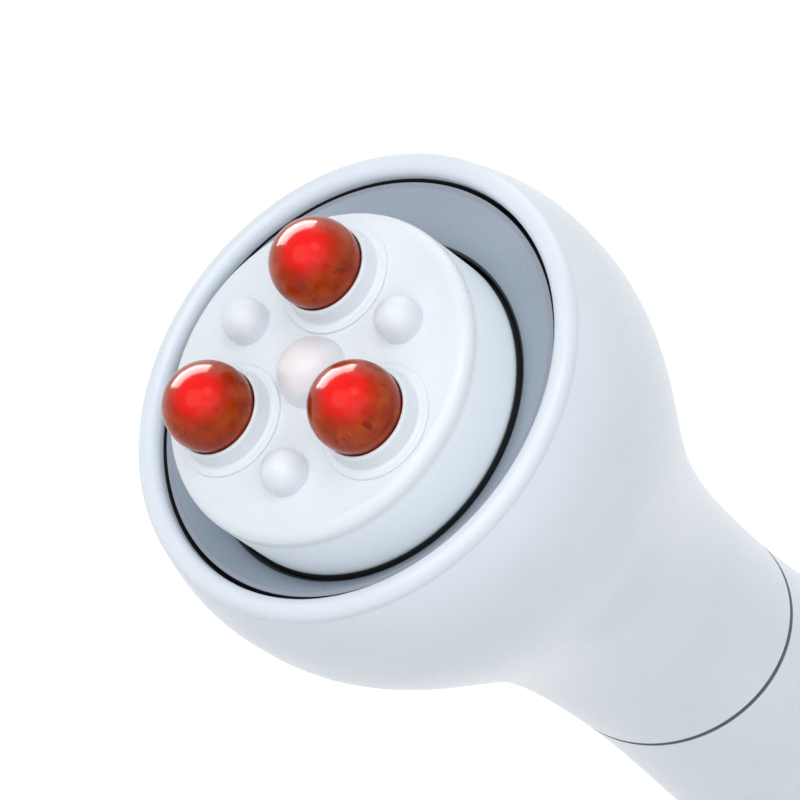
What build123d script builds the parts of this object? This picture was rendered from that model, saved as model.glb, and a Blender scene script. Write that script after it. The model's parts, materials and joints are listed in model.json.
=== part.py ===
from build123d import *
import math
import os

# Hot stone massager: a bulb head with a turning drum and three heated stones, on an oval neck and handle.
# Millimetres. The handle's axis is Z, the origin is the middle of its base, and the buttons face -Y.

# Overall lengths
handle_length = 104.0
head_length = 108.0
tail_length = 9.0

# Outer shape
bulb_radius = 42.1
bulb_drop = 16.5
bulb_bow = 0.35
waist_half_x = 24.2
waist_half_y = 21.5
flare_rate = 5.4
grip_swell = 2.4
grip_turn = 0.9
shell_wall = 2.2

# Waist joint
seam_gap = 1.1
seal_inset = 0.6
seal_wall = 1.0
coupler_reach = 11.0
coupler_wall = 1.8

# Opening of the bulb: its lip, and the shelf inside
lip_shoulder_share = 0.615
lip_crest_share = 0.28
lip_rise = 1.0
lip_outer_fall = 1.2
lip_inner_fall = 0.85
shelf_depth = 8.6
shelf_wall = 2.0
shelf_round = 0.9
lap_height = 3.0

# Grey ring between lip and drum
ring_band = 8.3
ring_side_gap = 0.75
ring_top_drop = 1.6
ring_bore_drop = 5.5
ring_rim = 0.8
ring_thickness = 1.1
ring_skirt = 1.1

# Drum axis: leans to the front from a point deep in the bulb
drum_lean = 2.0
lean_pivot_depth = 71.3

# Drum
drum_radius = 27.7
drum_draft = 0.25
drum_face = 9.2
drum_bottom = -8.5
drum_edge = 2.0
drum_wall = 2.0
drum_top_wall = 2.4
running_gap = 0.6
well_gap = 1.2

# Stones and their seats, placed in from the drum's edge
stone_count = 3
stone_radius = 7.15
stone_inset = 11.9
stone_height = 15.1
stone_flat = 6.0
cup_widening = 0.3
seat_height = 3.7
seat_lip = 7.6
seat_lip_round = 0.5
seat_draft = 0.4
seat_foot = 9.45
seat_foot_height = 0.6
seat_step_round = 0.35
seat_fillet = 0.5

# Nubs and dome between the stones
nub_inset = 11.1
nub_radius = 3.65
nub_stem = 1.4
dome_radius = 5.85
dome_sink = 0.4

# Heating
heater_radius = 3.4
heater_thickness = 1.2
heater_gap = 0.5
lead_radius = 0.6
heater_lead_drop = 4.0
heater_lead_rise = 5.4
heater_lead_shift = (-4.0, 2.4)
heater_lead_bend = 1.8

# Drum carrier and slip ring
carrier_plate = 2.5
carrier_hub = 6.0
hub_height = 7.0
hub_cap = 1.0
hub_rib_length = 8.0
hub_rib_height = 3.0
carrier_screw_ring = 19.5
slip_outer = 18.5
slip_inner = 9.0
slip_thickness = 1.2
track_rings = (11.8, 15.8)
track_width = 1.6
track_thickness = 0.3
brush_height = 4.6
brush_sunk = 1.0
brush_radius = 0.75
brush_tip = 0.3
brush_angles = (76, 104)
brush_spread = 1.3

# Gear stage
tooth_size = 0.6
sun_teeth = 12
planet_teeth = 24
ring_teeth = 60
pressure_angle = 25.0
backlash = 0.10
tooth_head = 0.9
tooth_foot = 1.25
gear_width = 6.4
planet_plate = 2.6
planet_plate_edge = 2.0
window_radius = 2.6
window_inset = 1.2

# Gearbox
case_top = -17.0
case_plate = 2.4
case_wall = 2.0
case_step = 1.6
ring_wall = 2.3
cover_thickness = 3.0
ear_reach = 5.9
ear_radius = 3.6
ear_thickness = 2.5
post_radius = 3.2
post_length = 12.0
shaft_radius = 3.0
shaft_flat = 0.5
pin_radius = 1.5
bush_wall = 2.0
nose_wall = 1.6
nose_height = 4.5

# Motor
motor_radius = 16.0
motor_length = 31.0
motor_edge = 1.2
motor_boss = 5.0
motor_boss_height = 2.0
motor_rear_height = 1.8
motor_shaft_radius = 1.5
motor_shaft_sunk = 4.2
motor_screw_ring = 9.5
motor_screw_angles = (0, 180)
motor_screw_bite = 3.0
terminal_x = 9.0
terminal_width = 2.2
terminal_thickness = 0.5
terminal_length = 4.0
motor_lead_x = 5.0
motor_lead_top = 24.0
motor_lead_end = 2.0
motor_lead_bend = 8.0

# Panel, buttons and light bar
panel_width = 17.0
panel_length = 56.0
panel_centre = 45.0
panel_thickness = 1.2
panel_proud = 0.15
button_radius = 4.8
button_proud = 0.7
button_round = 0.5
button_travel = 0.6
button_places = {"power_button": 54.0, "heat_button": 40.0, "speed_button": 26.0}
flange_depth = 3.4
flange_width = 1.2
flange_thickness = 1.0
plunger_radius = 1.7
plunger_rise = 0.8
plunger_sunk = 1.2
lens_place = 66.0
lens_length = 9.0
lens_width = 2.6
diode_height = 0.9
diode_side = 1.4
diode_pitch = 3.0

# Cells, tray and main board
cell_radius = 9.2
cell_length = 65.0
cell_edge = 0.8
cell_tip_radius = 3.2
cell_tip_height = 1.0
cell_y = 5.5
cell_low = 17.5
tray_wall = 1.8
tray_width = 33.0
tray_end_width = 31.0
tray_end_depth = 17.8
board_width = 24.0
board_length = 64.0
board_thickness = 1.6
board_lift = 4.0
board_rise = 1.0
board_inset_x = 3.0
board_inset_z = 4.0
board_screw_bite = 3.0
board_post_radius = 2.4
switch_side = 6.0
switch_height = 3.4

# Tail and charging socket
tail_edge = 4.0
tail_spigot = 6.0
tail_spigot_wall = 1.6
tail_floor = 2.0
tail_screw_y = 13.5
tail_screw_reach = 1.8
tail_boss_height = 5.7
tail_boss_gap = 0.5
pad_thickness = 1.6
pad_proud = 0.8
pad_margin = 1.2
port_width = 8.9
port_height = 3.3
port_corner = 1.5
port_length = 7.3
port_wall = 0.3
port_back = 1.0
port_recess = 0.4
port_margin = 3.0
tongue_width = 6.6
tongue_thickness = 0.7
tongue_length = 5.1
tongue_recess = 1.2
charge_board_width = 22.0
charge_board_depth = 11.0
charge_board_thickness = 1.2
charge_board_corner = 1.0
charge_post_x = 8.5
charge_post_radius = 1.6
charge_lead_side = 4.0
charge_lead_end = 2.4
charge_lead_bend = 1.4

# Fits, walls and fasteners
fit_gap = 0.1
shaft_gap = 0.05
move_gap = 0.3
button_gap = 0.25
merge = 0.1
cut_past = 1.0
rib_thickness = 1.4
web_thickness = 2.4
boss_wall = 1.5
boss_length = 16.0
screw_shank = 1.1
screw_head = 1.9
screw_head_height = 1.3
screw_bite = 7.0
pilot_extra = 1.0
cowl_screw_angles = (45, 135, 225, 315)

# Levels and the drum's own place, worked out from the sizes above
rim_z = handle_length + head_length
widest_z = rim_z - bulb_drop
waist_z = handle_length
seam_low = waist_z - seam_gap / 2
seam_high = waist_z + seam_gap / 2
shelf_z = rim_z - shelf_depth
boss_z = shelf_z - shelf_wall
spigot_z = widest_z + lap_height
lean = math.radians(drum_lean)
drum_direction = (0, -math.sin(lean), math.cos(lean))
drum_origin = (
    0,
    -lean_pivot_depth * math.sin(lean),
    rim_z - lean_pivot_depth * (1 - math.cos(lean)),
)
drum_place = Plane(origin=drum_origin, x_dir=(1, 0, 0), z_dir=drum_direction).location
stone_angles = [90 + 360 / stone_count * index for index in range(stone_count)]
nub_angles = [angle + 180 / stone_count for angle in stone_angles]
ear_angles = stone_angles

# Levels along the drum's axis, from the lip's plane
seat_top = drum_face + seat_height
heater_high = stone_height - stone_flat
heater_low = heater_high - heater_thickness
drum_ceiling = drum_face - drum_top_wall
carrier_low = drum_bottom
carrier_high = drum_bottom + carrier_plate
hub_high = carrier_high + hub_height
slip_low = carrier_low - slip_thickness
track_low = slip_low - track_thickness
planet_plate_high = case_top - case_plate - move_gap
planet_plate_low = planet_plate_high - planet_plate
gear_high = planet_plate_low - move_gap
gear_low = gear_high - gear_width
cover_high = gear_low - move_gap
cover_low = cover_high - cover_thickness
nose_top = case_top + nose_height
motor_low = cover_low - motor_length

# Radii that follow from the sizes above
opening_radius = drum_radius + ring_band
ring_radius_out = opening_radius - ring_side_gap
gap_radius = drum_radius + running_gap
well_radius = drum_radius + well_gap
cowl_screw_ring = (well_radius + ring_radius_out - ring_skirt) / 2
stone_ring = drum_radius - stone_inset
nub_ring = drum_radius - nub_inset
boss_radius = screw_shank + boss_wall
screw_hole = screw_shank + fit_gap
head_hole = screw_head + fit_gap
sun_radius = tooth_size * sun_teeth / 2
planet_radius = tooth_size * planet_teeth / 2
ring_radius = tooth_size * ring_teeth / 2
planet_orbit = sun_radius + planet_radius
ring_outer = ring_radius + tooth_foot * tooth_size + ring_wall
case_bore = ring_outer + fit_gap / 2
case_radius = case_bore + case_wall
ear_ring = case_radius + ear_reach

# Levels across the handle, from its axis to the front
outside_y = -2 * waist_half_y
inside_y = -waist_half_y / 2
tray_y = cell_y - cell_radius - fit_gap
board_y = tray_y - tray_wall - board_lift
switch_low_y = board_y - board_thickness
switch_top_y = switch_low_y - switch_height
diode_top_y = switch_low_y - diode_height
board_low = cell_low + board_rise
board_high = board_low + board_length
board_middle_y = board_y - board_thickness / 2

# Levels of the tail
pad_seat = pad_thickness - pad_proud
port_low = pad_thickness + port_recess
charge_board_z = port_low + port_length
charge_board_top = charge_board_z + charge_board_thickness
tail_boss_low = tail_length + tail_boss_gap


def at(radius, height):
    """Point of a turned profile."""
    return (radius, 0, height)


def turned(edges):
    """Solid of revolution of a closed profile about Z."""
    return revolve(Face(Wire(edges)), Axis.Z, 360)


def disc(radius, low, high):
    """Round disc about Z between two levels."""
    return Pos(0, 0, low) * Cylinder(radius, high - low, align=(Align.CENTER, Align.CENTER, Align.MIN))


def tube(outer, inner, low, high):
    """Round ring about Z between two levels."""
    return extrude(Pos(0, 0, low) * (Circle(outer) - Circle(inner)), high - low)


def oval(half_x, half_y, low, high):
    """Straight oval prism about Z."""
    return extrude(Pos(0, 0, low) * Ellipse(half_x, half_y), high - low)


def around(shape, radius, angles):
    """Copies of a shape on a circle about Z, one for each angle."""
    return [Rot(0, 0, angle) * Pos(radius, 0, 0) * shape for angle in angles]


def joined(shapes):
    """One group of separate solids."""
    return Compound(children=[solid for shape in shapes for solid in shape.solids()])


def crown(radius, low, high):
    """Arc of a turned profile from a shoulder up to the axis, centred on the axis."""
    rise = high - low
    ball = (radius ** 2 + rise ** 2) / (2 * rise)
    half_turn = math.asin(radius / ball) / 2
    middle = at(ball * math.sin(half_turn), high - ball + ball * math.cos(half_turn))
    return ThreePointArc(at(radius, low), middle, at(0, high))


def quarter(start, corner, end):
    """Quarter round of a turned profile in place of a square corner."""
    centre = Vector(start) + Vector(end) - Vector(corner)
    radius = (Vector(start) - centre).length
    middle = centre + (Vector(corner) - centre).normalized() * radius
    return ThreePointArc(start, middle, end)


def screw(length):
    """Pan-head screw: the underside of its head at the origin, its shank down -Z."""
    shoulder = screw_head_height * 0.5
    tip = screw_shank * 0.6
    edges = [
        Line(at(0, -length), at(tip, -length)),
        Line(at(tip, -length), at(screw_shank, -length + screw_shank)),
        Line(at(screw_shank, -length + screw_shank), at(screw_shank, 0)),
        Line(at(screw_shank, 0), at(screw_head, 0)),
        Line(at(screw_head, 0), at(screw_head, shoulder)),
        crown(screw_head, shoulder, screw_head_height),
        Line(at(0, screw_head_height), at(0, -length)),
    ]
    return turned(edges)


# Outer shape of head and handle

def bell(z):
    """Share of the bulb's extra width left at this level: one at the widest circle, none at the waist."""
    reach = (widest_z - z) / (widest_z - waist_z)
    floor = math.exp(-flare_rate)
    return (math.exp(-flare_rate * reach ** 2) - floor) / (1 - floor)


def head_halves(z, inset):
    """Half widths of the bulb and neck along X and Y, drawn in from the outer face by the inset."""
    share = bell(z)
    half_x = waist_half_x + (bulb_radius - waist_half_x) * share - inset
    half_y = waist_half_y + (bulb_radius - waist_half_y) * share - inset
    return half_x, half_y


def head_section(z, inset):
    """Oval section of the bulb and neck."""
    return Pos(0, 0, z) * Ellipse(*head_halves(z, inset))


def grip(z):
    """Extra half width of the handle at this level."""
    return grip_swell * math.sin(grip_turn * math.pi * (waist_z - z) / handle_length) ** 2


def handle_section(z, inset):
    """Oval section of the handle, drawn in from the outer face by the inset."""
    return Pos(0, 0, z) * Ellipse(waist_half_x + grip(z) - inset, waist_half_y + grip(z) - inset)


def lofted(section, low, high, steps, inset):
    """Smooth solid through evenly spaced sections."""
    levels = [low + (high - low) * index / steps for index in range(steps + 1)]
    return loft([section(z, inset) for z in levels])


def handle_solid(low, high, inset):
    """Solid within the handle's face, drawn in by the inset."""
    return lofted(handle_section, low, high, 6, inset)


# Head shells

def front_cowl():
    """Front half of the bulb: rounded lip, shelf for the ring inside, rebate for the lap joint."""
    lip_width = bulb_radius - opening_radius
    wall = opening_radius + lip_width * lip_shoulder_share
    crest = opening_radius + lip_width * lip_crest_share
    inner = bulb_radius - shell_wall
    lap = bulb_radius - shell_wall / 2
    shoulder = rim_z - lip_outer_fall
    brink = rim_z - lip_inner_fall
    under = boss_z - shelf_round
    edges = [
        ThreePointArc(
            at(bulb_radius, widest_z),
            at(bulb_radius - bulb_bow, widest_z + bulb_drop * 0.5),
            at(wall, shoulder),
        ),
        ThreePointArc(at(wall, shoulder), at(crest, rim_z + lip_rise), at(opening_radius, brink)),
        Line(at(opening_radius, brink), at(opening_radius, shelf_z)),
        Line(at(opening_radius, shelf_z), at(drum_radius, shelf_z)),
        Line(at(drum_radius, shelf_z), at(drum_radius, boss_z)),
        Line(at(drum_radius, boss_z), at(inner - shelf_round, boss_z)),
        quarter(at(inner - shelf_round, boss_z), at(inner, boss_z), at(inner, under)),
        Line(at(inner, under), at(inner, spigot_z)),
        Line(at(inner, spigot_z), at(lap, spigot_z)),
        Line(at(lap, spigot_z), at(lap, widest_z)),
        Line(at(lap, widest_z), at(bulb_radius, widest_z)),
    ]
    well = drum_place * disc(well_radius, 2 * drum_bottom, drum_face)
    hole = disc(screw_hole, boss_z - cut_past, shelf_z + cut_past)
    return turned(edges) - well - around(hole, cowl_screw_ring, cowl_screw_angles)


def cowl_screws():
    """Screws that pull the cowl's shelf down on the housing's bosses, hidden by the ring."""
    fastener = Pos(0, 0, shelf_z) * screw(shelf_wall + screw_bite)
    return joined(around(fastener, cowl_screw_ring, cowl_screw_angles))


def bezel_ring():
    """Grey ring: a cone from the lip's circle down to the drum's leaning running gap, on a skirt."""
    top = rim_z - ring_top_drop
    bore_plane = drum_place * Pos(0, 0, -ring_bore_drop)
    brink = Pos(0, 0, top) * Circle(ring_radius_out - ring_rim)
    hollow = loft([bore_plane * Circle(gap_radius), brink], ruled=True)
    under = bore_plane * Pos(0, 0, -ring_thickness) * Circle(gap_radius + ring_rim)
    body = loft([under, Pos(0, 0, top - ring_thickness) * Circle(ring_radius_out)], ruled=True)
    rim = disc(ring_radius_out, top - ring_thickness, top)
    skirt = tube(ring_radius_out, ring_radius_out - ring_skirt, shelf_z, top - ring_thickness)
    bore = drum_place * disc(gap_radius, drum_bottom, -ring_bore_drop + ring_rim)
    return body + rim + skirt - hollow - bore


def wall_web(angle, start, low, high, thickness):
    """Upright web inside the bulb, in one direction, from a radius out into the shell's wall."""
    turn = math.radians(angle)
    inset = shell_wall * 0.7

    def wall_point(z):
        """Point in the wall at this level."""
        half_x, half_y = head_halves(z, inset)
        return at(1 / math.hypot(math.cos(turn) / half_x, math.sin(turn) / half_y), z)

    edges = [
        Line(at(start, low), wall_point(low)),
        ThreePointArc(wall_point(low), wall_point((low + high) / 2), wall_point(high)),
        Line(wall_point(high), at(start, high)),
        Line(at(start, high), at(start, low)),
    ]
    return Rot(0, 0, angle) * extrude(Face(Wire(edges)), thickness / 2, both=True)


def rear_housing():
    """Rear half of the bulb and the neck, with the lap's spigot, screw bosses and gearbox posts."""
    housing = lofted(head_section, seam_high, widest_z, 10, 0)
    housing -= lofted(head_section, seam_high - cut_past, widest_z, 10, shell_wall)
    inner = bulb_radius - shell_wall
    housing += tube(inner + shell_wall / 2 - shaft_gap, inner, widest_z, spigot_z)
    boss_low = boss_z - boss_length
    boss = disc(boss_radius, boss_low, boss_z)
    housing += around(boss, cowl_screw_ring, cowl_screw_angles)
    for angle in cowl_screw_angles:
        housing += wall_web(angle, cowl_screw_ring, boss_low + rib_thickness, spigot_z, rib_thickness)
    post = disc(post_radius, cover_low - post_length, cover_low)
    housing += [drum_place * shape for shape in around(post, ear_ring, ear_angles)]
    web_high = rim_z + cover_low - post_radius
    for angle in ear_angles:
        housing += wall_web(angle, ear_ring, web_high + post_radius - post_length, web_high, web_thickness)
    pilot = disc(screw_shank, boss_z - screw_bite - pilot_extra, boss_z)
    housing -= around(pilot, cowl_screw_ring, cowl_screw_angles)
    post_pilot = disc(screw_shank, cover_low - screw_bite - pilot_extra, cover_low)
    return housing - [drum_place * shape for shape in around(post_pilot, ear_ring, ear_angles)]


# Drum and what turns with it

def stone_seat():
    """Raised seat of one stone: low stepped foot, drafted wall and rounded lip."""
    root = drum_face - drum_top_wall / 2
    step = drum_face + seat_foot_height
    wall = seat_lip + seat_draft
    shoulder = seat_foot - seat_step_round
    lip_in = seat_lip - seat_lip_round
    lip_low = seat_top - seat_lip_round
    edges = [
        Line(at(0, root), at(seat_foot, root)),
        Line(at(seat_foot, root), at(seat_foot, step - seat_step_round)),
        quarter(at(seat_foot, step - seat_step_round), at(seat_foot, step), at(shoulder, step)),
        Line(at(shoulder, step), at(wall + seat_fillet, step)),
        quarter(at(wall + seat_fillet, step), at(wall, step), at(wall, step + seat_fillet)),
        Line(at(wall, step + seat_fillet), at(seat_lip, lip_low)),
        quarter(at(seat_lip, lip_low), at(seat_lip, seat_top), at(lip_in, seat_top)),
        Line(at(lip_in, seat_top), at(0, seat_top)),
        Line(at(0, seat_top), at(0, root)),
    ]
    return turned(edges)


def nub():
    """Small round-ended kneading knob."""
    root = drum_face - drum_top_wall / 2
    shoulder = drum_face + nub_stem
    edges = [
        Line(at(0, root), at(nub_radius, root)),
        Line(at(nub_radius, root), at(nub_radius, shoulder)),
        crown(nub_radius, shoulder, shoulder + nub_radius),
        Line(at(0, shoulder + nub_radius), at(0, root)),
    ]
    return turned(edges)


def dome():
    """Ball-shaped knob in the middle of the drum's face, sunk a little below its own middle."""
    root = drum_face - drum_top_wall / 2
    foot = math.sqrt(dome_radius ** 2 - dome_sink ** 2)
    top = drum_face - dome_sink + dome_radius
    edges = [
        Line(at(0, root), at(foot, root)),
        Line(at(foot, root), at(foot, drum_face)),
        crown(foot, drum_face, top),
        Line(at(0, top), at(0, root)),
    ]
    return turned(edges)


def kneading_drum():
    """White drum: a drafted cap with a rounded edge, seats, nubs and dome on it and screw bosses inside."""
    edge_radius = drum_radius - drum_draft
    inner = drum_radius - drum_wall
    shoulder = drum_face - drum_edge
    flat = edge_radius - drum_edge
    edges = [
        Line(at(drum_radius, drum_bottom), at(edge_radius, shoulder)),
        quarter(at(edge_radius, shoulder), at(edge_radius, drum_face), at(flat, drum_face)),
        Line(at(flat, drum_face), at(0, drum_face)),
        Line(at(0, drum_face), at(0, drum_ceiling)),
        Line(at(0, drum_ceiling), at(inner, drum_ceiling)),
        Line(at(inner, drum_ceiling), at(inner, drum_bottom)),
        Line(at(inner, drum_bottom), at(drum_radius, drum_bottom)),
    ]
    cap = turned(edges) + around(stone_seat(), stone_ring, stone_angles)
    cap += around(nub(), nub_ring, nub_angles)
    cap += dome()
    cup = Pos(0, 0, stone_height + cup_widening) * Sphere(stone_radius + cup_widening + fit_gap / 2)
    bore = disc(heater_radius + heater_gap, drum_ceiling - cut_past, heater_high)
    cap -= around(cup + bore, stone_ring, stone_angles)
    cap += around(disc(boss_radius, carrier_high, drum_ceiling + merge), carrier_screw_ring, nub_angles)
    pilot = disc(screw_shank, carrier_high, carrier_high + screw_bite + pilot_extra)
    cap -= around(pilot, carrier_screw_ring, nub_angles)
    return drum_place * cap


def hot_stone(index):
    """Stone ball, cut flat below where its heater lies."""
    cutter = Pos(0, 0, -stone_flat) * Box(
        stone_radius * 2, stone_radius * 2, stone_radius, align=(Align.CENTER, Align.CENTER, Align.MAX)
    )
    ball = Pos(0, 0, stone_height) * (Sphere(stone_radius) - cutter)
    return drum_place * around(ball, stone_ring, stone_angles)[index]


def stone_heaters():
    """Heating disc under each stone's flat."""
    plate = disc(heater_radius, heater_low, heater_high)
    return drum_place * joined(around(plate, stone_ring, stone_angles))


def heater_leads():
    """Lead from each heating disc to the carrier plate."""
    path = FilletPolyline(
        (0, 0, heater_low),
        (0, 0, heater_low - heater_lead_drop),
        (*heater_lead_shift, carrier_high + heater_lead_rise),
        (*heater_lead_shift, carrier_high),
        radius=heater_lead_bend,
    )
    run = sweep(Pos(0, 0, heater_low) * Circle(lead_radius), path=path)
    return drum_place * joined(around(run, stone_ring, stone_angles))


def output_bar(low, high):
    """Round bar with a drive flat."""
    flat = Pos(shaft_radius - shaft_flat, 0, low) * Box(
        shaft_radius, shaft_radius * 3, high - low, align=(Align.MIN, Align.CENTER, Align.MIN)
    )
    return disc(shaft_radius, low, high) - flat


def drum_carrier():
    """Plate that closes the drum, with the hub for the shaft and ribs on the hub."""
    plate = disc(drum_radius - drum_wall - fit_gap, carrier_low, carrier_high)
    hub = disc(carrier_hub, carrier_high, hub_high)
    rib = Pos(-merge, 0, carrier_high) * Box(
        hub_rib_length, rib_thickness, hub_rib_height, align=(Align.MIN, Align.CENTER, Align.MIN)
    )
    ribs = around(rib, carrier_hub - merge, stone_angles)
    hole = disc(screw_hole, carrier_low - cut_past, carrier_high + cut_past)
    sink = disc(head_hole, carrier_low - cut_past, carrier_low + screw_head_height)
    bore = output_bar(carrier_low - cut_past, hub_high - hub_cap)
    return drum_place * (plate + hub + ribs - around(hole + sink, carrier_screw_ring, nub_angles) - bore)


def output_shaft():
    """Steel shaft from the planet carrier to the drum's hub: round in the bush, flat in the hub."""
    lower = disc(shaft_radius, planet_plate_low, carrier_low)
    upper = output_bar(carrier_low, hub_high - hub_cap)
    return drum_place * (lower + upper)


def shaft_spacer():
    """Washer sleeve that keeps the carrier off the nose of the gearbox."""
    return drum_place * tube(shaft_radius + bush_wall, shaft_radius, nose_top + move_gap, carrier_low)


def drum_screws():
    """Screws up through the carrier into the drum."""
    fastener = Pos(0, 0, carrier_low + screw_head_height) * Rot(180, 0, 0) * screw(screw_bite)
    return drum_place * joined(around(fastener, carrier_screw_ring, nub_angles))


def slip_ring():
    """Ring board under the carrier."""
    return drum_place * tube(slip_outer, slip_inner, slip_low, carrier_low)


def slip_tracks():
    """Two contact tracks on the ring board."""
    half = track_width / 2
    tracks = [tube(radius + half, radius - half, track_low, slip_low) for radius in track_rings]
    return drum_place * joined(tracks)


# Fixed contacts

def brush_block():
    """Holder of the sprung contacts, on the gearbox's top face."""
    reach = slip_outer * brush_spread
    outer = Pos(0, 0, case_top) * (Circle(slip_outer) - Circle(slip_inner))
    wedge = make_face(Polyline((0, 0), (slip_outer, reach), (-slip_outer, reach), close=True))
    block = extrude(outer & Pos(0, 0, case_top) * wedge, brush_height)
    well = disc(brush_radius + shaft_gap, case_top + brush_sunk, case_top + 2 * brush_height)
    for radius in track_rings:
        block -= around(well, radius, brush_angles)
    return drum_place * block


def brush_pins():
    """Sprung contacts that reach up to the tracks."""
    pin = disc(brush_radius, case_top + brush_sunk, track_low - move_gap)
    tip = fillet(pin.edges().sort_by(Axis.Z)[-1], brush_tip)
    pins = [copy for radius in track_rings for copy in around(tip, radius, brush_angles)]
    return drum_place * joined(pins)


# Planetary gear stage

def involute(base, radius):
    """Angle that an involute has turned from its base circle out to a radius."""
    pressure = math.acos(min(1.0, base / radius))
    return math.tan(pressure) - pressure


def gear_wire(teeth, inner, outer, thickening):
    """Closed outline of a toothed wheel, one tooth centred on +X; a thickening in mm widens each tooth."""
    pitch = tooth_size * teeth / 2
    base = pitch * math.cos(math.radians(pressure_angle))
    half_at_pitch = math.pi / (2 * teeth) + thickening / (2 * pitch)
    start = max(base, inner)
    middle = (start + outer) / 2

    def point(radius, side, centre):
        """Point of one flank: at this radius, on this side of the tooth that is centred on the angle."""
        half = half_at_pitch + involute(base, pitch) - involute(base, max(radius, base))
        angle = centre + side * half
        return (radius * math.cos(angle), radius * math.sin(angle))

    edges = []
    for tooth in range(teeth):
        centre = 2 * math.pi * tooth / teeth
        following = 2 * math.pi * (tooth + 1) / teeth
        if inner < base:
            edges.append(Line(point(inner, -1, centre), point(start, -1, centre)))
        edges.append(
            ThreePointArc(point(start, -1, centre), point(middle, -1, centre), point(outer, -1, centre))
        )
        edges.append(Line(point(outer, -1, centre), point(outer, 1, centre)))
        edges.append(
            ThreePointArc(point(outer, 1, centre), point(middle, 1, centre), point(start, 1, centre))
        )
        if inner < base:
            edges.append(Line(point(start, 1, centre), point(inner, 1, centre)))
        edges.append(Line(point(inner, 1, centre), point(inner, -1, following)))
    return Wire(edges)


def gear(teeth, bore):
    """Spur gear between the stage's two levels, one tooth centred on +X."""
    pitch = tooth_size * teeth / 2
    outline = gear_wire(teeth, pitch - tooth_foot * tooth_size, pitch + tooth_head * tooth_size, -backlash)
    face = Face(outline, [Wire(Edge.make_circle(bore))])
    return extrude(Pos(0, 0, gear_low) * face, gear_width)


def sun_pinion():
    """Pinion pressed on the motor's shaft, with one tooth towards the first planet."""
    return drum_place * Rot(0, 0, stone_angles[0]) * gear(sun_teeth, motor_shaft_radius)


def planet_gear(index):
    """Planet between sun and ring, turned by half a tooth so that a gap faces the sun."""
    wheel = Rot(0, 0, 180 / planet_teeth) * gear(planet_teeth, pin_radius + shaft_gap)
    return drum_place * around(wheel, planet_orbit, stone_angles)[index]


def ring_gear():
    """Fixed ring with inner teeth, one tooth gap towards the first planet."""
    hollow = gear_wire(
        ring_teeth, ring_radius - tooth_head * tooth_size, ring_radius + tooth_foot * tooth_size, backlash
    )
    face = Face(Wire(Edge.make_circle(ring_outer)), [hollow])
    ring = extrude(Pos(0, 0, gear_low) * face, gear_width)
    return drum_place * Rot(0, 0, stone_angles[0] + 180 / ring_teeth) * ring


def planet_carrier():
    """Plate that holds the planets' pins and turns the output shaft."""
    plate = disc(planet_orbit + pin_radius + planet_plate_edge, planet_plate_low, planet_plate_high)
    plate -= disc(shaft_radius, planet_plate_low, planet_plate_high)
    plate -= around(disc(pin_radius, planet_plate_low, planet_plate_high), planet_orbit, stone_angles)
    window = disc(window_radius, planet_plate_low, planet_plate_high)
    return drum_place * (plate - around(window, planet_orbit - window_inset, nub_angles))


def planet_pins():
    """Steel pins of the planets."""
    pin = disc(pin_radius, gear_low, planet_plate_high)
    return drum_place * joined(around(pin, planet_orbit, stone_angles))


# Gearbox shells and motor

def ears(low, high):
    """Three round ears joined to a disc, for the gearbox's screws."""
    outline = Circle(case_radius)
    arm = Pos(ear_ring / 2, 0) * Rectangle(ear_ring, ear_radius * 2)
    arm += Pos(ear_ring, 0) * Circle(ear_radius)
    for angle in ear_angles:
        outline += Rot(0, 0, angle) * arm
    for angle in ear_angles:
        outline -= Rot(0, 0, angle) * Pos(ear_ring, 0) * Circle(screw_hole)
    return extrude(Pos(0, 0, low) * outline, high - low)


def gearbox_case():
    """Cup over the gear stage, with the shaft's nose on top and ears at its open end."""
    bush_radius = shaft_radius + bush_wall
    shell = disc(case_radius, cover_high, case_top) + ears(cover_high, cover_high + ear_thickness)
    shell += disc(bush_radius + nose_wall, case_top, nose_top)
    shell -= disc(case_bore, cover_high, gear_high)
    shell -= disc(ring_outer - case_step, gear_high, case_top - case_plate)
    shell -= disc(bush_radius, case_top - case_plate, nose_top)
    return drum_place * shell


def shaft_bush():
    """Bronze bush in the nose, with a running fit on the shaft."""
    return drum_place * tube(
        shaft_radius + bush_wall, shaft_radius + shaft_gap, case_top - case_plate, nose_top
    )


def gearbox_cover():
    """Plate under the gear stage; the motor hangs from it."""
    sink_low = cover_high - screw_head_height - 2 * fit_gap
    plate = ears(cover_low, cover_high)
    plate -= disc(motor_boss + fit_gap, cover_low, cover_high)
    plate -= around(disc(screw_hole, cover_low, cover_high), motor_screw_ring, motor_screw_angles)
    plate -= around(disc(head_hole, sink_low, cover_high), motor_screw_ring, motor_screw_angles)
    return drum_place * plate


def gearbox_screws():
    """Screws through the ears of case and cover into the housing's posts."""
    level = cover_high + ear_thickness
    length = ear_thickness + cover_thickness + screw_bite
    return drum_place * joined(around(Pos(0, 0, level) * screw(length), ear_ring, ear_angles))


def motor_screws():
    """Screws through the cover into the motor's face."""
    sink_low = cover_high - screw_head_height - 2 * fit_gap
    fastener = Pos(0, 0, sink_low) * screw(sink_low - cover_low + motor_screw_bite)
    return drum_place * joined(around(fastener, motor_screw_ring, motor_screw_angles))


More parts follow.
